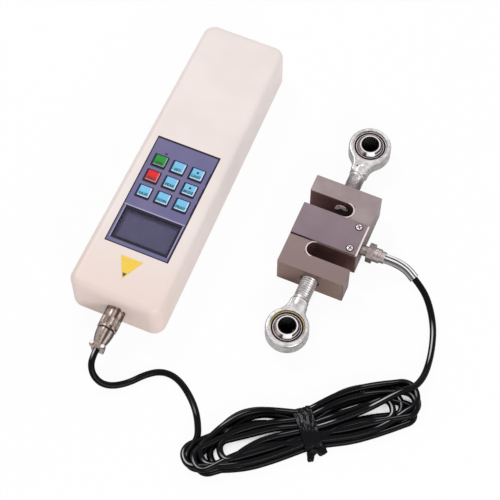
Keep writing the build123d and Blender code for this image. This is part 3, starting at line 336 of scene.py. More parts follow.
def keyFinish(name, top, low, lipStrength):
    # satin key cap: painted highlight along its right and near edges, deeper towards the legend, and painted
    # shade at its foot
    s = panelLook
    f = Finish(name)
    nearX, nearY = nearestKey(f)
    wear = f.noise(420.0, detail=3.0)
    base = f.mix((nearY + 1.6 * wear).ease(-3.4, 1.6), low, top)
    # painted highlight along the right and near edges
    lip = nearX.ease(*s["lipRight"]).larger(1.0 - nearY.ease(*s["lipNear"]))
    base = f.mix(lip * lipStrength, base, f.mix(0.7, top, (0.92, 0.95, 0.97)))
    # painted shade at the foot of the cap
    base = f.mix(1.0 - f.z.ease(*s["capFoot"]), base, s["keyShade"])
    return f.close(colour=base, roughness=0.36 + 0.12 * wear, specular=0.25,
                   normal=f.bump(wear, 0.08, 0.00005))


# the sticker's black tip, in millimetres
stickerTip = {"top": -98.2, "point": -101.6, "halfWidth": 1.72, "narrowing": 0.52}


def stickerFinish():
    s = stickerTip
    f = Finish("printed_sticker")
    ink = f.noise(700.0, detail=2.0)
    base = f.mix(ink.ease(0.3, 0.8), tint(246, 205, 46), tint(232, 186, 30))
    # the black tip keeps a yellow rim
    below = s["top"] - f.y
    inside = (s["halfWidth"] - abs(f.x)) - below * s["narrowing"]
    depth = below.smaller((f.y - s["point"]) * 4.0).smaller(inside)
    base = f.mix(depth.ease(-0.15, 0.15), base, tint(24, 20, 18))
    return f.close(colour=base, roughness=0.34 + 0.1 * ink, coat=0.4, coatRoughness=0.15)


def bezelFinish():
    s = panelLook
    f = Finish("display_frame")
    edge = f.box(s["displayCentre"], s["displayHalf"])
    grain = f.noise(1500.0, detail=2.0)
    # painted highlight: pale strips along the frame's left and right bevels
    sides = (abs(f.x - s["displayCentre"][0]) - s["displayHalf"][0]).ease(-0.85, -0.7)
    base = f.mix(sides * edge.ease(-0.9, -0.75), tint(12, 10, 22), s["pale"])
    return f.close(colour=base, roughness=0.5 + 0.1 * grain, specular=0.25,
                   normal=f.bump(grain, 0.15, 0.00003))


# the ghost of the row of segments
segmentLook = {"x": -3.0, "y": -67.2, "pitch": 5.2, "halfHeight": (2.2, 3.4), "strength": 0.6}


def screenFinish():
    # liquid-crystal glass, switched off, with the ghost of its segments
    f = Finish("screen_glass")
    haze = f.noise(60.0, detail=2.0)
    base = f.mix(haze.ease(0.3, 0.75), tint(92, 88, 126), tint(106, 102, 140))
    s = segmentLook
    column = abs((f.x - s["x"]).wrapped(s["pitch"] / 2))
    upright = (1.0 - column.ease(0.25, 0.6)) * (1.0 - abs(f.y - s["y"]).ease(*s["halfHeight"]))
    ghost = upright * f.noise(300.0).ease(0.35, 0.6)
    base = f.mix(ghost * s["strength"], base, tint(54, 56, 84))
    return f.close(colour=base, roughness=0.3 + 0.1 * haze)


def windowFinish():
    f = Finish("display_window")
    dust = f.noise(160.0, detail=2.0)
    return f.close(colour=f.mix(dust.ease(0.3, 0.8), tint(80, 74, 112), tint(88, 82, 120)),
                   roughness=0.2 + 0.04 * dust, alpha=0.3)


# millimetres of the shared frame; pairs are where a painted mark begins and ends
beamLook = {
    # each sawn slot: near and far edge in y, left and right edge in x
    "slots": [(10.1, 21.2, 92.0, 127.8), (-28.2, -17.1, 107.4, 143.2)],
    # each slot's closed end: the middle of its round, and 1 where it points to the right
    "slotEnds": [(122.05, 15.65, 1.0), (113.15, -22.65, -1.0)],
    "top": (25.0, 25.3), "deep": (22.0, 25.3), "nearShade": (-38.0, 20.0),
    # painted highlight strip along the right edge: where it begins in x, its middle in y, its half length
    "strip": {"x": (141.4, 141.7), "y": -3.5, "half": (12.4, 13.2)},
    # painted shadow line in front of the cover plate: its y, its half width, where it ends in x
    "line": {"y": -16.9, "half": (0.3, 0.55), "x": (106.0, 112.0)},
}


def beamFinish():
    s = beamLook
    f = Finish("ground_steel")
    marks = f.noise(240.0, detail=5.0, roughness=0.7, stretch=(1.0, 9.0, 1.0))
    blotch = f.noise(38.0, detail=3.0)
    base = f.mix(blotch.ease(0.3, 0.75), tint(138, 123, 124), tint(156, 142, 144))
    # painted shade: darker towards the near end
    base = f.mix(1.0 - f.y.ease(*s["nearShade"]), base, tint(128, 110, 108))
    base = f.mix(marks.ease(0.45, 0.75) * 0.35, base, tint(112, 97, 98))
    # painted light: the faces towards -Y are painted warmer as lit, and the bevels painted darker as shade
    nx, ny, nz = f.split(f.add("ShaderNodeTexCoord", output="Normal"))
    base = f.mix((1.0 - ny.ease(-0.9, -0.6)) * 0.8, base, tint(150, 122, 112))
    bevel = 1.0 - abs(nx).larger(abs(ny)).larger(abs(nz)).ease(0.8, 0.95)
    base = f.mix(bevel * 0.6, base, tint(70, 54, 56))
    # painted shade inside the sawn slots, darker deeper down
    inside = None
    for low, high, left, right in s["slots"]:
        band = (f.y > low - 0.05) * (f.y < high + 0.05) * (f.x > left) * (f.x < right)
        inside = band if inside is None else inside.larger(band)
    base = f.mix(inside * (0.45 + 0.5 * (1.0 - f.z.ease(*s["deep"]))), base, tint(102, 62, 58))
    top = f.z.ease(*s["top"])
    for *middle, side in s["slotEnds"]:
        # a painted highlight on the rim round the slot's closed end
        outX, _, radius = f.around(middle)
        rim = radius.ease(5.4, 5.6) * (1.0 - radius.ease(6.2, 6.5)) * (outX * side).ease(-0.6, 0.8)
        base = f.mix(rim * top * 0.8, base, tint(222, 208, 206))
    # painted highlight along the right edge
    strip = f.x.ease(*s["strip"]["x"]) * (1.0 - abs(f.y - s["strip"]["y"]).ease(*s["strip"]["half"])) * top
    base = f.mix(strip * 0.9, base, tint(228, 214, 212))
    # painted shadow in front of the cover plate
    line = (1.0 - abs(f.y - s["line"]["y"]).ease(*s["line"]["half"])) * top
    base = f.mix(line * (1.0 - f.x.ease(*s["line"]["x"])), base, tint(26, 16, 18))
    return f.close(colour=base, metallic=0.75, roughness=0.36 + 0.14 * marks,
                   normal=f.bump(marks, 0.25, 0.00003))


coverScrew = {
    # middles of the heads in x and y; height and radius of the head's outline
    "places": [(136.3, 5.6), (136.3, -12.6)],
    "profile": [(-4.8, 1.0), (0.02, 1.0), (0.02, 2.35), (0.35, 2.4), (0.7, 2.1), (0.92, 1.4), (0.98, 0.5)],
    "segments": 36, "top": 26.6, "turns": [0.6, 1.3],
    # one arm of the cross recess, and the height of its middle
    "recess": (3.6, 0.8, 1.2), "recessAt": 0.85,
    # where the painted shade of the recess and the painted shadow round the head begin and end
    "armEdge": (0.3, 0.42), "armEnd": (1.75, 1.9), "shadow": [(2.15, 2.3), (2.6, 2.8)],
}


# middles of the rod ends' eyes in x and y
eyes = {"far": (117.6, 76.4), "near": (117.6, -83.4)}


def nearestEye(f):
    # millimetres from the middle of the eye on the same side: in x, in y and straight out
    farY = f.y - eyes["far"][1]
    nearY = f.y - eyes["near"][1]
    outX = f.x - eyes["far"][0]
    outY = f.add("ShaderNodeMix", {"data_type": "FLOAT"}, {0: f.y > 0.0, 2: nearY, 3: farY})
    return outX, outY, (outX * outX + outY * outY).power(0.5)


# radii in millimetres
raceLook = {"paleInside": (10.6, 10.8), "line": 11.2, "lineHalf": (0.55, 0.8), "outer": (12.65, 12.9)}


def linerFinish():
    # race ring: pale along its inner edge, a dark line of painted shade in the gap by the ball, then steel,
    # or brass on one side of the near one, with painted shade along one side of its outer edge
    s = raceLook
    f = Finish("bearing_race")
    outX, outY, radius = nearestEye(f)
    nearOne = 1.0 - f.y.ease(-10.0, 0.0)
    grime = f.noise(420.0, detail=4.0)
    steel = f.mix(grime.ease(0.3, 0.75), tint(206, 198, 196), tint(150, 140, 138))
    brass = f.mix(grime.ease(0.3, 0.75), tint(182, 162, 106), tint(132, 112, 64))
    side = (outY * 0.98 - outX * 0.1).ease(-4.0, 3.0)
    base = f.mix(nearOne * side, steel, brass)
    uneven = radius + 0.5 * grime
    base = f.mix(1.0 - uneven.ease(*s["paleInside"]), base, tint(214, 206, 208))
    # painted shade: along one side of the outer edge, and a dark line in the gap by the ball
    outer = uneven.ease(*s["outer"]) * (outX * 0.8 + abs(outY) * 0.6).ease(-7.0, 2.0)
    line = (1.0 - abs(uneven - s["line"]).ease(*s["lineHalf"])).larger(outer)
    base = f.mix(line, base, tint(14, 8, 10))
    return f.close(colour=base, metallic=0.8, roughness=0.3 + 0.12 * grime,
                   normal=f.bump(grime, 0.2, 0.00004))


ballLook = {
    # directions in plan from the ball's middle
    "shadeToward": (0.93, -0.37), "sparkToward": (0.39, -0.92),
    # radii in millimetres, from the bore out to the race
    "bore": (6.65, 6.8), "rim": 7.35, "shadeFrom": (7.8, 8.2), "sparkTo": (9.2, 9.8), "glint": 9.4,
    "raceShade": (9.9, 10.2),
}


def ballFinish():
    # hard chrome with painted light: painted shade where it looks at the race, away from its bright spot and
    # inside the bore, painted highlights round the bore's rim
    s = ballLook
    f = Finish("ball_chrome")
    outX, outY, radius = nearestEye(f)
    smear = f.noise(260.0, detail=3.0)
    bright = tint(236, 228, 230)
    base = f.mix(smear.ease(0.3, 0.75), tint(184, 172, 174), tint(122, 106, 110))
    toShade, toSpark = [(outX * x + outY * y) / radius for x, y in (s["shadeToward"], s["sparkToward"])]
    # painted shade towards the race, and on the side away from the bright spot
    base = f.mix(toShade.ease(-0.05, 0.35) * radius.ease(*s["shadeFrom"]), base, tint(28, 16, 18))
    base = f.mix((0.0 - toSpark).ease(0.3, 0.8) * 0.7, base, tint(52, 38, 42))
    # painted highlights: a thin line of light in the dark side, and a bright spot beside it
    glint = (1.0 - abs(radius + 0.8 * smear - s["glint"]).ease(0.12, 0.36)) * toShade.ease(0.3, 0.7)
    base = f.mix(glint * 0.8, base, bright)
    spark = toSpark.ease(0.90, 0.97) * (1.0 - radius.ease(*s["sparkTo"]))
    base = f.mix(spark, base, tint(246, 240, 242))
    # painted shade at the race's edge
    base = f.mix(radius.ease(*s["raceShade"]), base, tint(20, 12, 16))
    # painted highlight round the bore's rim
    rim = 1.0 - abs(radius + 0.5 * smear - s["rim"]).ease(0.3, 0.6)
    base = f.mix(rim, base, bright)
    # painted shade inside the bore
    base = f.mix(1.0 - radius.ease(*s["bore"]), base, tint(16, 10, 12))
    return f.close(colour=base, metallic=0.6, roughness=0.18 + 0.1 * smear)


def coverScrewFinish():
    # bright head; its cross recess painted dark as shade, and a painted shadow round its foot
    s = coverScrew
    f = Finish("cover_screw")
    uneven = f.noise(900.0, detail=2.0)
    base = f.mix(uneven.ease(0.3, 0.7), tint(250, 240, 240), tint(196, 180, 182))
    for place, turn in zip(s["places"], s["turns"]):
        outX, outY, reach = f.around(place)
        alongX = abs(outX * math.cos(turn) + outY * math.sin(turn))
        alongY = abs(outY * math.cos(turn) - outX * math.sin(turn))
        cross = (1.0 - alongX.smaller(alongY).ease(*s["armEdge"])) * (1.0 - reach.ease(*s["armEnd"]))
        base = f.mix(cross, base, tint(36, 22, 26))
        inner, outer = s["shadow"]
        base = f.mix(reach.ease(*inner) * (1.0 - reach.ease(*outer)), base, tint(96, 78, 82))
    return f.close(colour=base, metallic=0.5, roughness=0.26 + 0.1 * uneven)


print("shader parts ready")

finishes = {
    "case_plastic": mouldedPlastic("moulded_cream", tint(236, 224, 220), warmEnd=tint(234, 214, 206)),
    "panel_film": panelFinish(),
    "key_green": keyFinish("key_green", tint(30, 142, 54), tint(14, 112, 38), 0.35),
    "key_red": keyFinish("key_red", tint(222, 30, 30), tint(196, 20, 26), 0.35),
    "key_blue": keyFinish("key_blue", tint(122, 194, 234), tint(72, 176, 206), 0.85),
    "display_frame": bezelFinish(),
    "display_window": windowFinish(),
    "display_module": screenFinish(),
    "board": mouldedPlastic("solder_mask", tint(28, 92, 52), roughness=0.3, coat=0.3),
    "components": mouldedPlastic("component_body", tint(34, 34, 38), roughness=0.5),
    "lamp": mouldedPlastic("lamp_lens", tint(40, 16, 40), roughness=0.15, grain=0.05, coat=0.6),
    "sticker": stickerFinish(),
    "battery_wrap": mouldedPlastic("battery_wrap", tint(40, 84, 148), roughness=0.25, grain=0.1, coat=0.4),
    "jack": mouldedPlastic("jack_body", tint(30, 30, 32), roughness=0.4),
    "cable": wireSheath("cable_sheath", tint(9, 8, 11), glint=0.8),
    "tie": wireSheath("tie_film", tint(12, 11, 14), glint=0.12),
    "cover_screw": coverScrewFinish(),
    "printed_ink": mouldedPlastic("printed_ink", tint(6, 14, 30), roughness=0.6, grain=0.05),
    "wires": wireSheath("wire_sheath", tint(150, 34, 30)),
    "liner": linerFinish(),
    "screws": rolledMetal("plated_screw", tint(214, 206, 202), {"markScale": 700.0}),
    "brass": rolledMetal("turned_brass", tint(214, 176, 98), {
        "markScale": 600.0, "stretch": (1.0, 1.0, 6.0), "blotchScale": 120.0, "roughness": 0.28}),
    "strap": rolledMetal("pressed_strap", tint(190, 188, 186), {
        "markScale": 300.0, "stretch": (6.0, 1.0, 1.0), "blotchScale": 60.0, "dark": 0.85,
        "roughness": 0.32}),
    "nickel": rolledMetal("nickel_plate", tint(240, 218, 206), {
        "stretch": (1.0, 6.0, 1.0), "blotchScale": 560.0, "dark": 0.62, "metallic": 0.4,
        # painted reflection bands along the plug's turned parts
        "bandsToward": (0.983, 0.0, -0.184),
        "bands": [(0.0, 0.02), (0.06, 0.06), (0.11, 0.46), (0.22, 0.60), (0.32, 0.42), (0.42, 0.34),
                  (0.48, 0.55), (0.53, 0.90), (0.57, 0.40), (0.61, 0.10), (0.68, 0.06), (0.72, 0.28),
                  (0.765, 1.0), (0.83, 1.0), (0.87, 0.42), (0.92, 0.08), (1.0, 0.01)],
        # painted shade in the gap between the coupling nut and its backshell
        "grooves": [(-136.9, -135.75)], "ringColour": tint(18, 12, 12)}),
    "sleeve": sleeveFinish(),
    "gland": rolledMetal("gland_steel", tint(240, 224, 224), {
        "stretch": (5.0, 1.0, 1.0), "blotchScale": 420.0, "dark": 0.6, "markShade": 0.4,
        # painted reflection bands along the gland
        "roughness": 0.27, "metallic": 0.3, "bandsToward": (0.0, 0.896, 0.444),
        "bands": [(0.0, 0.05), (0.08, 0.16), (0.16, 0.55), (0.28, 0.72), (0.38, 0.42), (0.46, 0.50),
                  (0.54, 0.78), (0.62, 1.0), (0.72, 1.0), (0.79, 0.62), (0.88, 0.50), (0.95, 0.16),
                  (1.0, 0.05)]}),
    "beam_steel": beamFinish(),
    "cover_steel": rolledMetal("cover_steel", tint(134, 117, 124), {
        "markScale": 260.0, "stretch": (1.0, 9.0, 1.0), "blotchScale": 34.0, "dark": 0.86,
        "roughness": 0.36, "bump": 0.25, "metallic": 0.75,
        # painted shadow rings round the two cover screw heads
        "rings": [(136.3, 5.6, 2.2, 2.95), (136.3, -12.6, 2.2, 2.95)], "ringColour": tint(58, 42, 46)}),
    "gauge_foil": rolledMetal("gauge_foil", tint(200, 160, 90), {
        "markScale": 900.0, "stretch": (8.0, 1.0, 1.0), "markShade": 0.4, "roughness": 0.3}),
    "rod_end_steel": rolledMetal("forged_steel", tint(226, 221, 221), {
        "markScale": 900.0, "blotchScale": 300.0, "dark": 0.6, "markShade": 0.45,
        "roughness": 0.36, "bump": 0.6, "metallic": 0.75, "sheen": 0.68,
        # a punch mark on the far neck: a dark spot of painted shade in its dimple
        "rings": [(115.1, 57.0, -1.0, 0.8)], "ringColour": tint(84, 76, 76),
        # painted shade on the shank's end, with a painted highlight on its rim
        "tip": {"x": 117.6, "z": 12.7, "from": 10.0, "to": 21.25, "rim": (2.4, 2.8), "litFrom": (0.8, 1.8),
                "oil": tint(36, 22, 22), "light": (1.0, 0.97, 0.96)}}),
    "ball_chrome": ballFinish(),
}


def dress(piece, slotName):
    piece.data.materials.clear()
    piece.data.materials.append(finishes[slotName])


for node in nodes.values():
    for place in node.material_slots:
        place.material = finishes.get(place.material.name, place.material)

print("finishes laid on the frame")


studio = {
    # angles in degrees, focal length and frame in pixels, sensor in millimetres, places in metres
    "bearing": 23.216, "elevation": 63.15, "focal": 1701.0, "frame": 500.0, "sensor": 36.0,
    "eye": (0.2874, -0.5454, 1.1086), "clip": (0.05, 20.0), "middle": (0.08, -0.03, 0.0),
    # strength of the white world where it is seen, and as light
    "seen": 1.0, "light": 0.55,
    # name, place, size, watts
    "lamps": [
        ("key_light", (-0.75, 0.45, 1.25), 0.35, 6.6),
        ("fill_light", (1.05, -1.0, 0.75), 0.6, 9.5),
        ("rim_light", (0.15, 1.2, 0.8), 0.4, 2.0),
    ],
}
groundLook = {
    "size": 8.0, "tone": 0.92,
    # how the openness of a place turns into its share of plain white
    "reach": 0.06, "samples": 8, "openness": (0.04, 0.20), "most": 0.94,
    # the painted shadow below each eye: its move from the eye in millimetres, its soft edge in metres
    "spotShift": (-2.5, 5.9), "spotEdge": (0.0042, 0.0095),
}


def placeCamera():
    data = bpy.data.cameras.new("camera")
    data.sensor_width = studio["sensor"]
    data.lens = studio["sensor"] * studio["focal"] / studio["frame"]
    data.clip_start, data.clip_end = studio["clip"]
    camera = bpy.data.objects.new("camera", data)
    camera.location = studio["eye"]
    camera.rotation_euler = (math.radians(90.0 - studio["elevation"]), 0.0, math.radians(studio["bearing"]))
    bpy.context.collection.objects.link(camera)
    bpy.context.scene.camera = camera


def placeLights():
    aim = Vector(studio["middle"])
    for name, place, size, watts in studio["lamps"]:
        data = bpy.data.lights.new(name, "AREA")
        data.shape = "DISK"
        data.size = size
        data.energy = watts
        lamp = bpy.data.objects.new(name, data)
        lamp.location = place
        lamp.rotation_euler = (aim - Vector(place)).to_track_quat("-Z", "Y").to_euler()
        bpy.context.collection.objects.link(lamp)


def mathsNode(tree, operation, first, second):
    node = tree.nodes.new("ShaderNodeMath")
    node.operation = operation
    for socket, value in zip(node.inputs, (first, second)):
        if isinstance(value, float):
            socket.default_value = value
        else:
            tree.links.new(value, socket)
    return node.outputs[0]


def rangeNode(tree, value, limits):
    node = tree.nodes.new("ShaderNodeMapRange")
    for name, limit in limits.items():
        node.inputs[name].default_value = limit
    tree.links.new(value, node.inputs["Value"])
    return node.outputs[0]


def whiteSeenBy(tree):
    # one strength for the camera, mirrors and glass, and another for everything else
    path = tree.nodes.new("ShaderNodeLightPath").outputs
    seen = mathsNode(tree, "MAXIMUM", path["Is Camera Ray"], path["Is Glossy Ray"])
    seen = mathsNode(tree, "MAXIMUM", seen, path["Is Transmission Ray"])
    return rangeNode(tree, seen, {"To Min": studio["light"], "To Max": studio["seen"]})


def groundBelowEyes(tree):
    # painted shadow: 0 below an eye, where no light reaches the ground, and 1 elsewhere
    place = tree.nodes.new("ShaderNodeTexCoord").outputs["Object"]
    shift, edge, middle = groundLook["spotShift"], groundLook["spotEdge"], studio["middle"]
    total = 1.0
    for eye in eyes.values():
        apart = tree.nodes.new("ShaderNodeVectorMath")
        apart.operation = "DISTANCE"
        apart.inputs[1].default_value = (*[(eye[k] + shift[k]) * mm - middle[k] for k in range(2)], 0.0)
        tree.links.new(place, apart.inputs[0])
        level = rangeNode(tree, apart.outputs["Value"], {"From Min": edge[0], "From Max": edge[1]})
        total = mathsNode(tree, "MULTIPLY", total, level)
    return total


def groundMaterial():
    # the camera sees the ground nearly white, but for places that little light can reach and the painted
    # shadows below the eyes
    s = groundLook
    material = bpy.data.materials.new("ground")
    material.use_nodes = True
    tree = material.node_tree
    tree.nodes.clear()
    bare = groundBelowEyes(tree)
    matt = tree.nodes.new("ShaderNodeBsdfDiffuse")
    tree.links.new(mathsNode(tree, "MULTIPLY", bare, s["tone"]), matt.inputs["Color"])
    nook = tree.nodes.new("ShaderNodeAmbientOcclusion")
    nook.samples = s["samples"]
    nook.inputs["Distance"].default_value = s["reach"]
    low, high = s["openness"]
    clear = rangeNode(tree, nook.outputs["AO"], {"From Min": low, "From Max": high, "To Max": s["most"]})
    path = tree.nodes.new("ShaderNodeLightPath").outputs
    lit = mathsNode(tree, "MULTIPLY", clear, bare)
    share = mathsNode(tree, "MULTIPLY", path["Is Camera Ray"], lit)
    glow = tree.nodes.new("ShaderNodeEmission")
    blend = tree.nodes.new("ShaderNodeMixShader")
    for socket, value in zip(blend.inputs, (share, matt.outputs[0], glow.outputs[0])):
        tree.links.new(value, socket)
    end = tree.nodes.new("ShaderNodeOutputMaterial")
    tree.links.new(blend.outputs[0], end.inputs["Surface"])
    return material


def placeGround():
    world = bpy.data.worlds.new("studio")
    bpy.context.scene.world = world
    world.use_nodes = True
    sky = world.node_tree.nodes["Background"]
    sky.inputs["Color"].default_value = (1.0, 1.0, 1.0, 1.0)
    world.node_tree.links.new(whiteSeenBy(world.node_tree), sky.inputs["Strength"])
    bpy.ops.mesh.primitive_plane_add(size=groundLook["size"], location=studio["middle"])
    ground = bpy.context.object
    ground.name = "ground"
    ground.data.materials.append(groundMaterial())


placeCamera()
placeLights()
placeGround()
bpy.context.scene.view_settings.view_transform = "Standard"
print("camera, lamps and ground placed")


# places in metres, from the plug to the hank and from the hank to the load cell
cable = {
    "diameter": 0.0048, "length": 2.39, "roundSteps": 4, "alongSteps": 5,
    "meterLead": [
        (0.0020, -0.1517, 0.0185), (0.0020, -0.1580, 0.0185), (0.0032, -0.1640, 0.0162),
        (0.0068, -0.1682, 0.0114), (0.0132, -0.1698, 0.0064), (0.0210, -0.1670, 0.0032),
        (0.0299, -0.1599, 0.0024), (0.0378, -0.1498, 0.0024), (0.0470, -0.1432, 0.0024),
        (0.0579, -0.1430, 0.0024), (0.0698, -0.1494, 0.0024), (0.0819, -0.1608, 0.0024),
        (0.0896, -0.1746, 0.0024), (0.0906, -0.1810, 0.0024),
    ],
    "cellLead": [
        (0.2156, -0.0884, 0.0114), (0.2186, -0.0764, 0.0065), (0.2178, -0.0622, 0.0030),
        (0.2152, -0.0489, 0.0024), (0.2110, -0.0359, 0.0024), (0.2036, -0.0228, 0.0034),
        (0.19468, -0.01376, 0.00788), (0.1858, -0.0092, 0.0104),
    ],
}

# the hank lies in its own frame: u along it from its left fold, v across it, in millimetres
hank = {
    # its left end in the shared frame, its bearing in degrees, u of its waist
    "start": (91.6, -201.4), "angle": 40.1, "waist": 88.0,
    # shares of a fold's radius: how far its side points lie inside its end, and its end points off its sides
    "foldIn": 0.55, "foldRound": 0.5,
    # share of the way from a fold to the waist, share towards the lobe's width, share towards the waist's
    "stretch": [(0.09, 0.20, 0.0), (0.22, 0.62, 0.0), (0.42, 0.98, 0.0), (0.62, 1.0, 0.06),
                (0.81, 1.0, 0.50)],
    # left fold (u, low v, high v); near side's v in the left lobe, at the waist and in the right lobe;
    # right fold; far side's v in the right lobe, at the waist and in the left lobe; height
    "turns": [
        ((2.5, -4.0, 12.5), (-13.2, -10.6, -15.6), (163.0, -14.0, 1.0), (16.8, 13.2, 27.2), 2.4),
        ((8.4, -9.0, 6.0), (-8.8, -5.8, -11.4), (168.5, -8.0, 11.0), (21.6, 8.4, 22.6), 2.4),
        ((18.5, -6.5, 9.5), (0.0, -1.0, -1.6), (157.0, -6.0, 10.5), (12.0, 3.6, 17.8), 2.4),
        ((1.0, -3.0, 15.0), (-11.0, -8.4, -13.6), (168.6, -5.0, 14.5), (19.2, 12.6, 24.4), 6.8),
        ((12.0, -5.5, 12.5), (-5.6, -4.2, -8.2), (166.0, -11.0, 7.5), (14.0, 8.2, 13.4), 7.2),
        ((6.5, -7.6, 8.4), (-2.4, -10.0, -4.4), (149.0, -8.5, 6.5), (4.4, 3.0, 8.0), 7.4),
        ((25.5, -6.0, 9.0), (1.6, -0.2, 0.0), None, None, 7.8),
    ],
    "wayOut": [(104.0, -0.4, 8.6), (121.0, 0.2, 9.6), (136.0, 2.0, 11.0), (150.0, 4.8, 12.4),
               (161.0, 6.6, 12.4)],
}


def hankPoint(u, v, height):
    turn = math.radians(hank["angle"])
    x = hank["start"][0] + u * math.cos(turn) - v * math.sin(turn)
    y = hank["start"][1] + u * math.sin(turn) + v * math.cos(turn)
    return x * mm, y * mm, height * mm


def foldPoints(fold, side):
    # four points round a fold, from its near side to its far side; side is 1 at the left, -1 at the right
    end, low, high = fold
    radius = (high - low) / 2
    inner = end + side * hank["foldIn"] * radius
    off = hank["foldRound"] * radius
    return [(inner, low), (end, low + off), (end, high - off), (inner, high)]


def sidePoints(start, lobe, middle):
    # from a fold to the waist
    u, v = start
    points = []
    for place, toLobe, toWaist in hank["stretch"]:
        wide = v + (lobe - v) * toLobe
        points.append((u + (hank["waist"] - u) * place, wide + (middle - wide) * toWaist))
    return points


def hankTurns():
    points = []
    turns = hank["turns"]
    for number, (leftFold, near, rightFold, far, height) in enumerate(turns):
        before = turns[number - 1][4] if number else height
        left = foldPoints(leftFold, 1)
        if number:
            points.append((*left[3], before))
        points += [(*left[2], before), (*left[1], (before + height) / 2), (*left[0], height)]
        flat = sidePoints(left[0], near[0], near[1]) + [(hank["waist"], near[1])]
        if rightFold:
            right = foldPoints(rightFold, -1)
            following = foldPoints(turns[number + 1][0], 1)[3]
            flat += sidePoints(right[0], near[2], near[1])[::-1] + right
            flat += sidePoints(right[3], far[0], far[1]) + [(hank["waist"], far[1])]
            flat += sidePoints(following, far[2], far[1])[::-1]
        points += [(u, v, height) for u, v in flat]
    return [hankPoint(*point) for point in points + hank["wayOut"]]


def makeCable():
    points = cable["meterLead"] + hankTurns() + cable["cellLead"]
    curve = bpy.data.curves.new("sensor_cable", "CURVE")
    curve.dimensions = "3D"
    curve.bevel_depth = cable["diameter"] / 2
    curve.bevel_resolution = cable["roundSteps"]
    curve.resolution_u = cable["alongSteps"]
    curve.use_fill_caps = True
    spline = curve.splines.new("NURBS")
    spline.points.add(len(points) - 1)
    for knot, point in zip(spline.points, points):
        knot.co = (*point, 1.0)
    spline.order_u = 3
    spline.use_endpoint_u = True
    piece = bpy.data.objects.new("sensor_cable", curve)
    bpy.context.collection.objects.link(piece)
    piece.data.materials.append(finishes["cable"])
    return piece


sensorCable = makeCable()


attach(sensorCable, "sensor")
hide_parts("meter_lead", "cable_hank", "cell_lead")
print("cable laid")


weldGap = 0.000004  # vertices closer than this are one

def deselectAll():
    if bpy.context.object and bpy.context.object.mode != "OBJECT":
        bpy.ops.object.mode_set(mode="OBJECT")
    bpy.ops.object.select_all(action="DESELECT")


def pickAll(kind="FACE"):
    bpy.ops.mesh.select_mode(type=kind)
    bpy.ops.mesh.select_all(action="SELECT")


def pickFaces(wanted):
    # faces of the piece in edit mode whose middle is wanted
    bpy.ops.mesh.select_mode(type="FACE")
    bpy.ops.mesh.select_all(action="DESELECT")
    shape = bmesh.from_edit_mesh(bpy.context.object.data)
    for face in shape.faces:
        face.select_set(wanted(face.calc_center_median()))
    bmesh.update_edit_mesh(bpy.context.object.data)


def applyModifier(piece, kind, **settings):
    modifier = piece.modifiers.new(kind.lower(), kind)
    for key, value in settings.items():
        setattr(modifier, key, value)
    bpy.context.view_layer.objects.active = piece
    bpy.ops.object.modifier_apply(modifier=modifier.name)


def cutWith(piece, tool):
    applyModifier(piece, "BOOLEAN", object=tool, operation="DIFFERENCE", solver="EXACT")
    bpy.data.objects.remove(tool)


def settle(name, slotName, body, replaced=(), place=(0.0, 0.0, 0.0), turn=(0.0, 0.0, 0.0),
           angle=35.0, look=None):
    # the active piece is named, moved to its place in its mesh, closed, dressed and given to its body
    deselectAll()
    piece = bpy.context.object
    piece.name = name
    piece.location = place
    piece.rotation_euler = turn
    piece.select_set(True)
    bpy.ops.object.transform_apply(location=True, rotation=True, scale=True)
    bpy.ops.object.mode_set(mode="EDIT")
    pickAll()
    bpy.ops.mesh.remove_doubles(threshold=weldGap)
    bpy.ops.mesh.normals_make_consistent(inside=False)
    bpy.ops.object.mode_set(mode="OBJECT")
    bpy.ops.object.shade_smooth_by_angle(angle=math.radians(angle))
    dress(piece, look or slotName)
    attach(piece, body)
    if replaced:
        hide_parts(*replaced)
    return piece


def turnProfile(profile, segments, bored=False):
    # profile is (height, radius) pairs in millimetres, turned about Z by extruding and scaling a ring
    deselectAll()
    height, radius = profile[0]
    bpy.ops.mesh.primitive_circle_add(vertices=segments, radius=radius * mm, location=(0, 0, height * mm),
                                      fill_type="NOTHING" if bored else "NGON")
    bpy.ops.object.transform_apply(location=True)
    bpy.ops.object.mode_set(mode="EDIT")
    pickAll("EDGE" if bored else "FACE")
    for nextHeight, nextRadius in profile[1:] + (profile[:1] if bored else []):
        step = (0, 0, (nextHeight - height) * mm)
        bpy.ops.mesh.extrude_region_move(TRANSFORM_OT_translate={"value": step})
        ratio = nextRadius / radius
        bpy.ops.transform.resize(value=(ratio, ratio, 1.0), center_override=(0, 0, nextHeight * mm))
        height, radius = nextHeight, nextRadius
    if bored:
        pickAll("VERT")
        bpy.ops.mesh.remove_doubles(threshold=weldGap)
    return bpy.context.object


couplingNut = {
    # distance from its socket end, radius
    "profile": [(0.0, 6.8), (0.4, 7.2), (5.5, 7.2), (5.7, 6.85), (6.2, 6.85), (6.4, 7.05), (7.4, 7.05),
                (8.4, 7.05), (9.4, 7.05), (10.4, 7.05), (11.4, 7.05), (12.2, 7.05), (12.35, 6.7),
                (12.8, 6.7), (12.95, 7.15), (13.25, 7.25), (14.3, 7.2), (14.6, 6.8), (14.6, 5.45),
                (11.6, 5.45), (11.6, 6.05), (0.0, 6.05)],
    "segments": 56, "knurlFrom": 6.4, "knurlTo": 12.2, "knurlBeyond": 6.9, "knurlHeight": 0.24,
    "place": (0.002, -0.1211, 0.0185), "turn": (math.pi / 2, 0.0, 0.0),
}


def makeCouplingNut():
    s = couplingNut
    turnProfile(s["profile"], s["segments"], bored=True)

    def knurled(middle):
        out = math.hypot(middle.x, middle.y)
        return s["knurlFrom"] * mm < middle.z < s["knurlTo"] * mm and out > s["knurlBeyond"] * mm
    pickAll()
    bpy.ops.mesh.normals_make_consistent(inside=False)
    pickFaces(knurled)
    bpy.ops.mesh.poke(offset=s["knurlHeight"] * mm)
    settle("coupling_nut_knurled", "nickel", "coupling_nut", ["coupling_nut"], s["place"], s["turn"],
           angle=25.0)


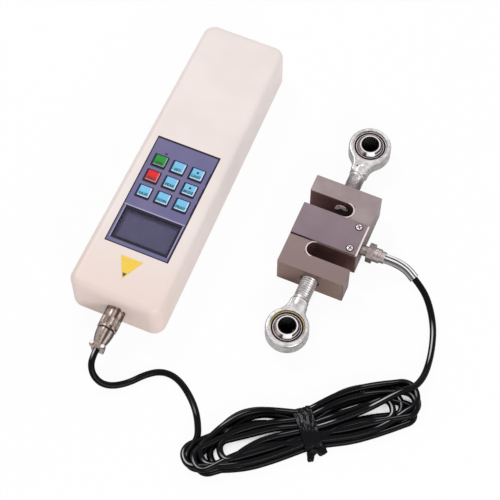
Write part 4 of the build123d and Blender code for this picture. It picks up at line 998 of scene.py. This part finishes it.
tie = {
    # the band's middle along, across and above the hank's own axis, and its half sizes
    "place": (88.0, 1.3, 5.7), "halfWidth": 15.2, "halfHeight": 5.45, "segments": 36,
    # distance along the hank, size of the ring
    "rings": [(-6.4, 0.98), (-4.8, 1.05), (-3.2, 1.0), (-1.4, 1.06), (0.2, 0.99), (1.8, 1.05), (3.4, 1.0),
              (5.0, 1.07), (6.6, 1.0)],
    # thickness of the film, size of its creases in metres and their height; how far it is drawn out
    # while they are made, and the least height of any of it above the table
    "film": 0.5, "crumpleSize": 0.0075, "crumple": 2.4, "draw": 3.5, "floor": 0.12,
    "knot": (-0.6, -15.2, 4.6), "knotSize": (3.8, 2.2, 3.2), "knotCrumpleSize": 0.0026, "knotCrumple": 2.4,
    "tailFilm": 0.7, "tailCrumpleSize": 0.003, "tailCrumple": 2.0, "ruffle": 0.5,
    # each tail: from the knot, its steps (x, y, z) and its width at each
    "tails": [
        [(-0.4, -11.6, 5.6, 4.4), (-1.8, -14.4, 5.0, 5.2), (-3.0, -17.0, 3.9, 5.6), (-4.0, -19.4, 2.9, 5.0),
         (-4.6, -21.2, 2.1, 3.6)],
        [(0.6, -11.8, 6.6, 5.0), (3.0, -13.6, 5.9, 7.0), (4.6, -15.6, 4.8, 8.4), (5.4, -17.6, 3.7, 7.6),
         (5.8, -19.0, 2.8, 5.4)],
    ],
}


def crumple(piece, size, height):
    texture = bpy.data.textures.new("crumple", "CLOUDS")
    texture.noise_scale = size
    texture.noise_depth = 3
    applyModifier(piece, "DISPLACE", texture=texture, strength=height * mm, mid_level=0.5,
                  texture_coords="LOCAL")


def layOnHank(name, replaced=()):
    # the active piece, modelled round the waist's middle, is kept above the table and laid there
    piece = bpy.context.object
    place = hankPoint(tie["place"][0], 0.0, 0.0)
    for vertex in piece.data.vertices:
        vertex.co.z = max(vertex.co.z, tie["floor"] * mm)
    return settle(name, "tie", "sensor", replaced, place, (0.0, 0.0, math.radians(hank["angle"])), 60.0)


def makeTieBand():
    deselectAll()
    start, startSize = tie["rings"][0]
    middle = tie["place"][1] * mm, tie["place"][2] * mm
    centre = (start * mm, *middle)
    bpy.ops.mesh.primitive_circle_add(vertices=tie["segments"], radius=mm, fill_type="NOTHING",
                                      location=centre, rotation=(0, math.pi / 2, 0))
    bpy.ops.object.transform_apply(location=True, rotation=True)
    bpy.ops.object.mode_set(mode="EDIT")
    pickAll("EDGE")
    width, height = tie["halfWidth"] * startSize, tie["halfHeight"] * startSize
    bpy.ops.transform.resize(value=(1, width, height), center_override=centre)
    for (before, size), (after, nextSize) in zip(tie["rings"], tie["rings"][1:]):
        bpy.ops.mesh.extrude_region_move(TRANSFORM_OT_translate={"value": ((after - before) * mm, 0, 0)})
        ratio = nextSize / size
        bpy.ops.transform.resize(value=(1, ratio, ratio), center_override=(after * mm, *middle))
    bpy.ops.object.mode_set(mode="OBJECT")
    band = bpy.context.object
    applyModifier(band, "SOLIDIFY", thickness=tie["film"] * mm, offset=1.0)
    applyModifier(band, "SUBSURF", levels=2)
    # crumpled while drawn out along the hank, so that the creases run round it
    for factor in (tie["draw"], 1.0 / tie["draw"]):
        band.scale = (factor, 1.0, 1.0)
        deselectAll()
        band.select_set(True)
        bpy.ops.object.transform_apply(location=False, rotation=False, scale=True)
        if factor > 1.0:
            crumple(band, tie["crumpleSize"], tie["crumple"])
    return layOnHank("tie_band", ["hank_tie"])


def makeTieKnot():
    deselectAll()
    bpy.ops.mesh.primitive_ico_sphere_add(subdivisions=4, radius=mm, location=[c * mm for c in tie["knot"]])
    bpy.ops.transform.resize(value=tie["knotSize"])
    bpy.ops.object.transform_apply(location=True, rotation=True, scale=True)
    crumple(bpy.context.object, tie["knotCrumpleSize"], tie["knotCrumple"])
    return layOnHank("tie_knot")


def makeTieTail(number, steps):
    # a strip of film, its rows laid along the steps and ruffled across
    deselectAll()
    rows = len(steps) - 1
    bpy.ops.mesh.primitive_grid_add(x_subdivisions=4, y_subdivisions=rows, size=2.0)
    tail = bpy.context.object
    for vertex in tail.data.vertices:
        row = round((vertex.co.y + 1.0) / 2.0 * rows)
        x, y, z, width = steps[row]
        forward = Vector(steps[min(row + 1, rows)][:3]) - Vector(steps[max(row - 1, 0)][:3])
        across = Vector((0.0, 0.0, 1.0)).cross(forward).normalized()
        ruffle = tie["ruffle"] * math.cos(vertex.co.x * 2.0 * math.pi + row)
        vertex.co = (Vector((x, y, z + ruffle)) + across * vertex.co.x * width / 2) * mm
    applyModifier(tail, "SOLIDIFY", thickness=tie["tailFilm"] * mm, offset=0.0)
    applyModifier(tail, "SUBSURF", levels=2)
    crumple(tail, tie["tailCrumpleSize"], tie["tailCrumple"])
    return layOnHank("tie_tail_%d" % number)


def makeCoverScrew(number):
    s = coverScrew
    turnProfile(s["profile"], s["segments"])
    bpy.ops.object.mode_set(mode="OBJECT")
    screw = bpy.context.object
    for turn in (0.0, math.pi / 2):
        deselectAll()
        bpy.ops.mesh.primitive_cube_add(size=mm, location=(0, 0, s["recessAt"] * mm), rotation=(0, 0, turn))
        bpy.ops.transform.resize(value=s["recess"], orient_type="LOCAL")
        cutWith(screw, bpy.context.object)
    deselectAll()
    bpy.context.view_layer.objects.active = screw
    x, y = s["places"][number]
    settle("cover_screw_%d" % (number + 1), "screws", "sensor", ["cover_screws"] if number == 0 else (),
           (x * mm, y * mm, s["top"] * mm), (0, 0, s["turns"][number]), look="cover_screw")


legends = {
    # height of the letters, how much bolder they are drawn in metres, the most room across a key;
    # their place from the key's middle, the key's top and how far they stand above it
    "size": 3.0375, "bolder": 0.00009, "room": 7.4, "below": -2.35, "top": 37.9, "rise": 0.015,
    # body of each key, column, row and its words
    "keys": [
        ("key_power", 0, 0, "ON"), ("key_set", 1, 0, "SET"), ("key_unit", 2, 0, "UNIT"),
        ("key_zero", 0, 1, "ZERO"), ("key_peak", 1, 1, "PEAK"), ("key_mode", 2, 1, "MODE"),
        ("key_save", 0, 2, "SAVE"), ("key_down", 1, 2, "DOWN"), ("key_print", 2, 2, "PRINT"),
    ],
    "dots": [("key_unit", 2, 0), ("key_mode", 2, 1)],
    "dotRadius": 0.95, "dotAbove": 1.2, "dotSegments": 24,
}


def settleInk(kind, body, column, row, shift):
    # the active piece is laid on its key
    x = (column - 1) * panelLook["keyPitch"][0]
    y = panelLook["firstKeyY"] - row * panelLook["keyPitch"][1] + shift
    settle(kind + body[4:], "panel_film", body, (), (x * mm, y * mm, legends["top"] * mm),
           look="printed_ink")


def makeLegends():
    s = legends
    for body, column, row, words in s["keys"]:
        deselectAll()
        bpy.ops.object.text_add()
        data = bpy.context.object.data
        data.body = words
        data.align_x = "CENTER"
        data.align_y = "CENTER"
        data.size = s["size"] * mm
        data.offset = s["bolder"]
        data.resolution_u = 3
        data.extrude = s["rise"] * mm
        bpy.ops.object.convert(target="MESH")
        text = bpy.context.object
        across = [vertex.co.x for vertex in text.data.vertices]
        text.scale.x = min(1.0, s["room"] * mm / (max(across) - min(across)))
        settleInk("legend_", body, column, row, s["below"])
    for body, column, row in s["dots"]:
        turnProfile([(-s["rise"], s["dotRadius"]), (s["rise"], s["dotRadius"])], s["dotSegments"])
        settleInk("dot_", body, column, row, s["dotAbove"])


makeCouplingNut()
tiePieces = [makeTieBand(), makeTieKnot()]
tiePieces += [makeTieTail(number + 1, steps) for number, steps in enumerate(tie["tails"])]
makeCoverScrew(0)
makeCoverScrew(1)
makeLegends()
print("pieces made")
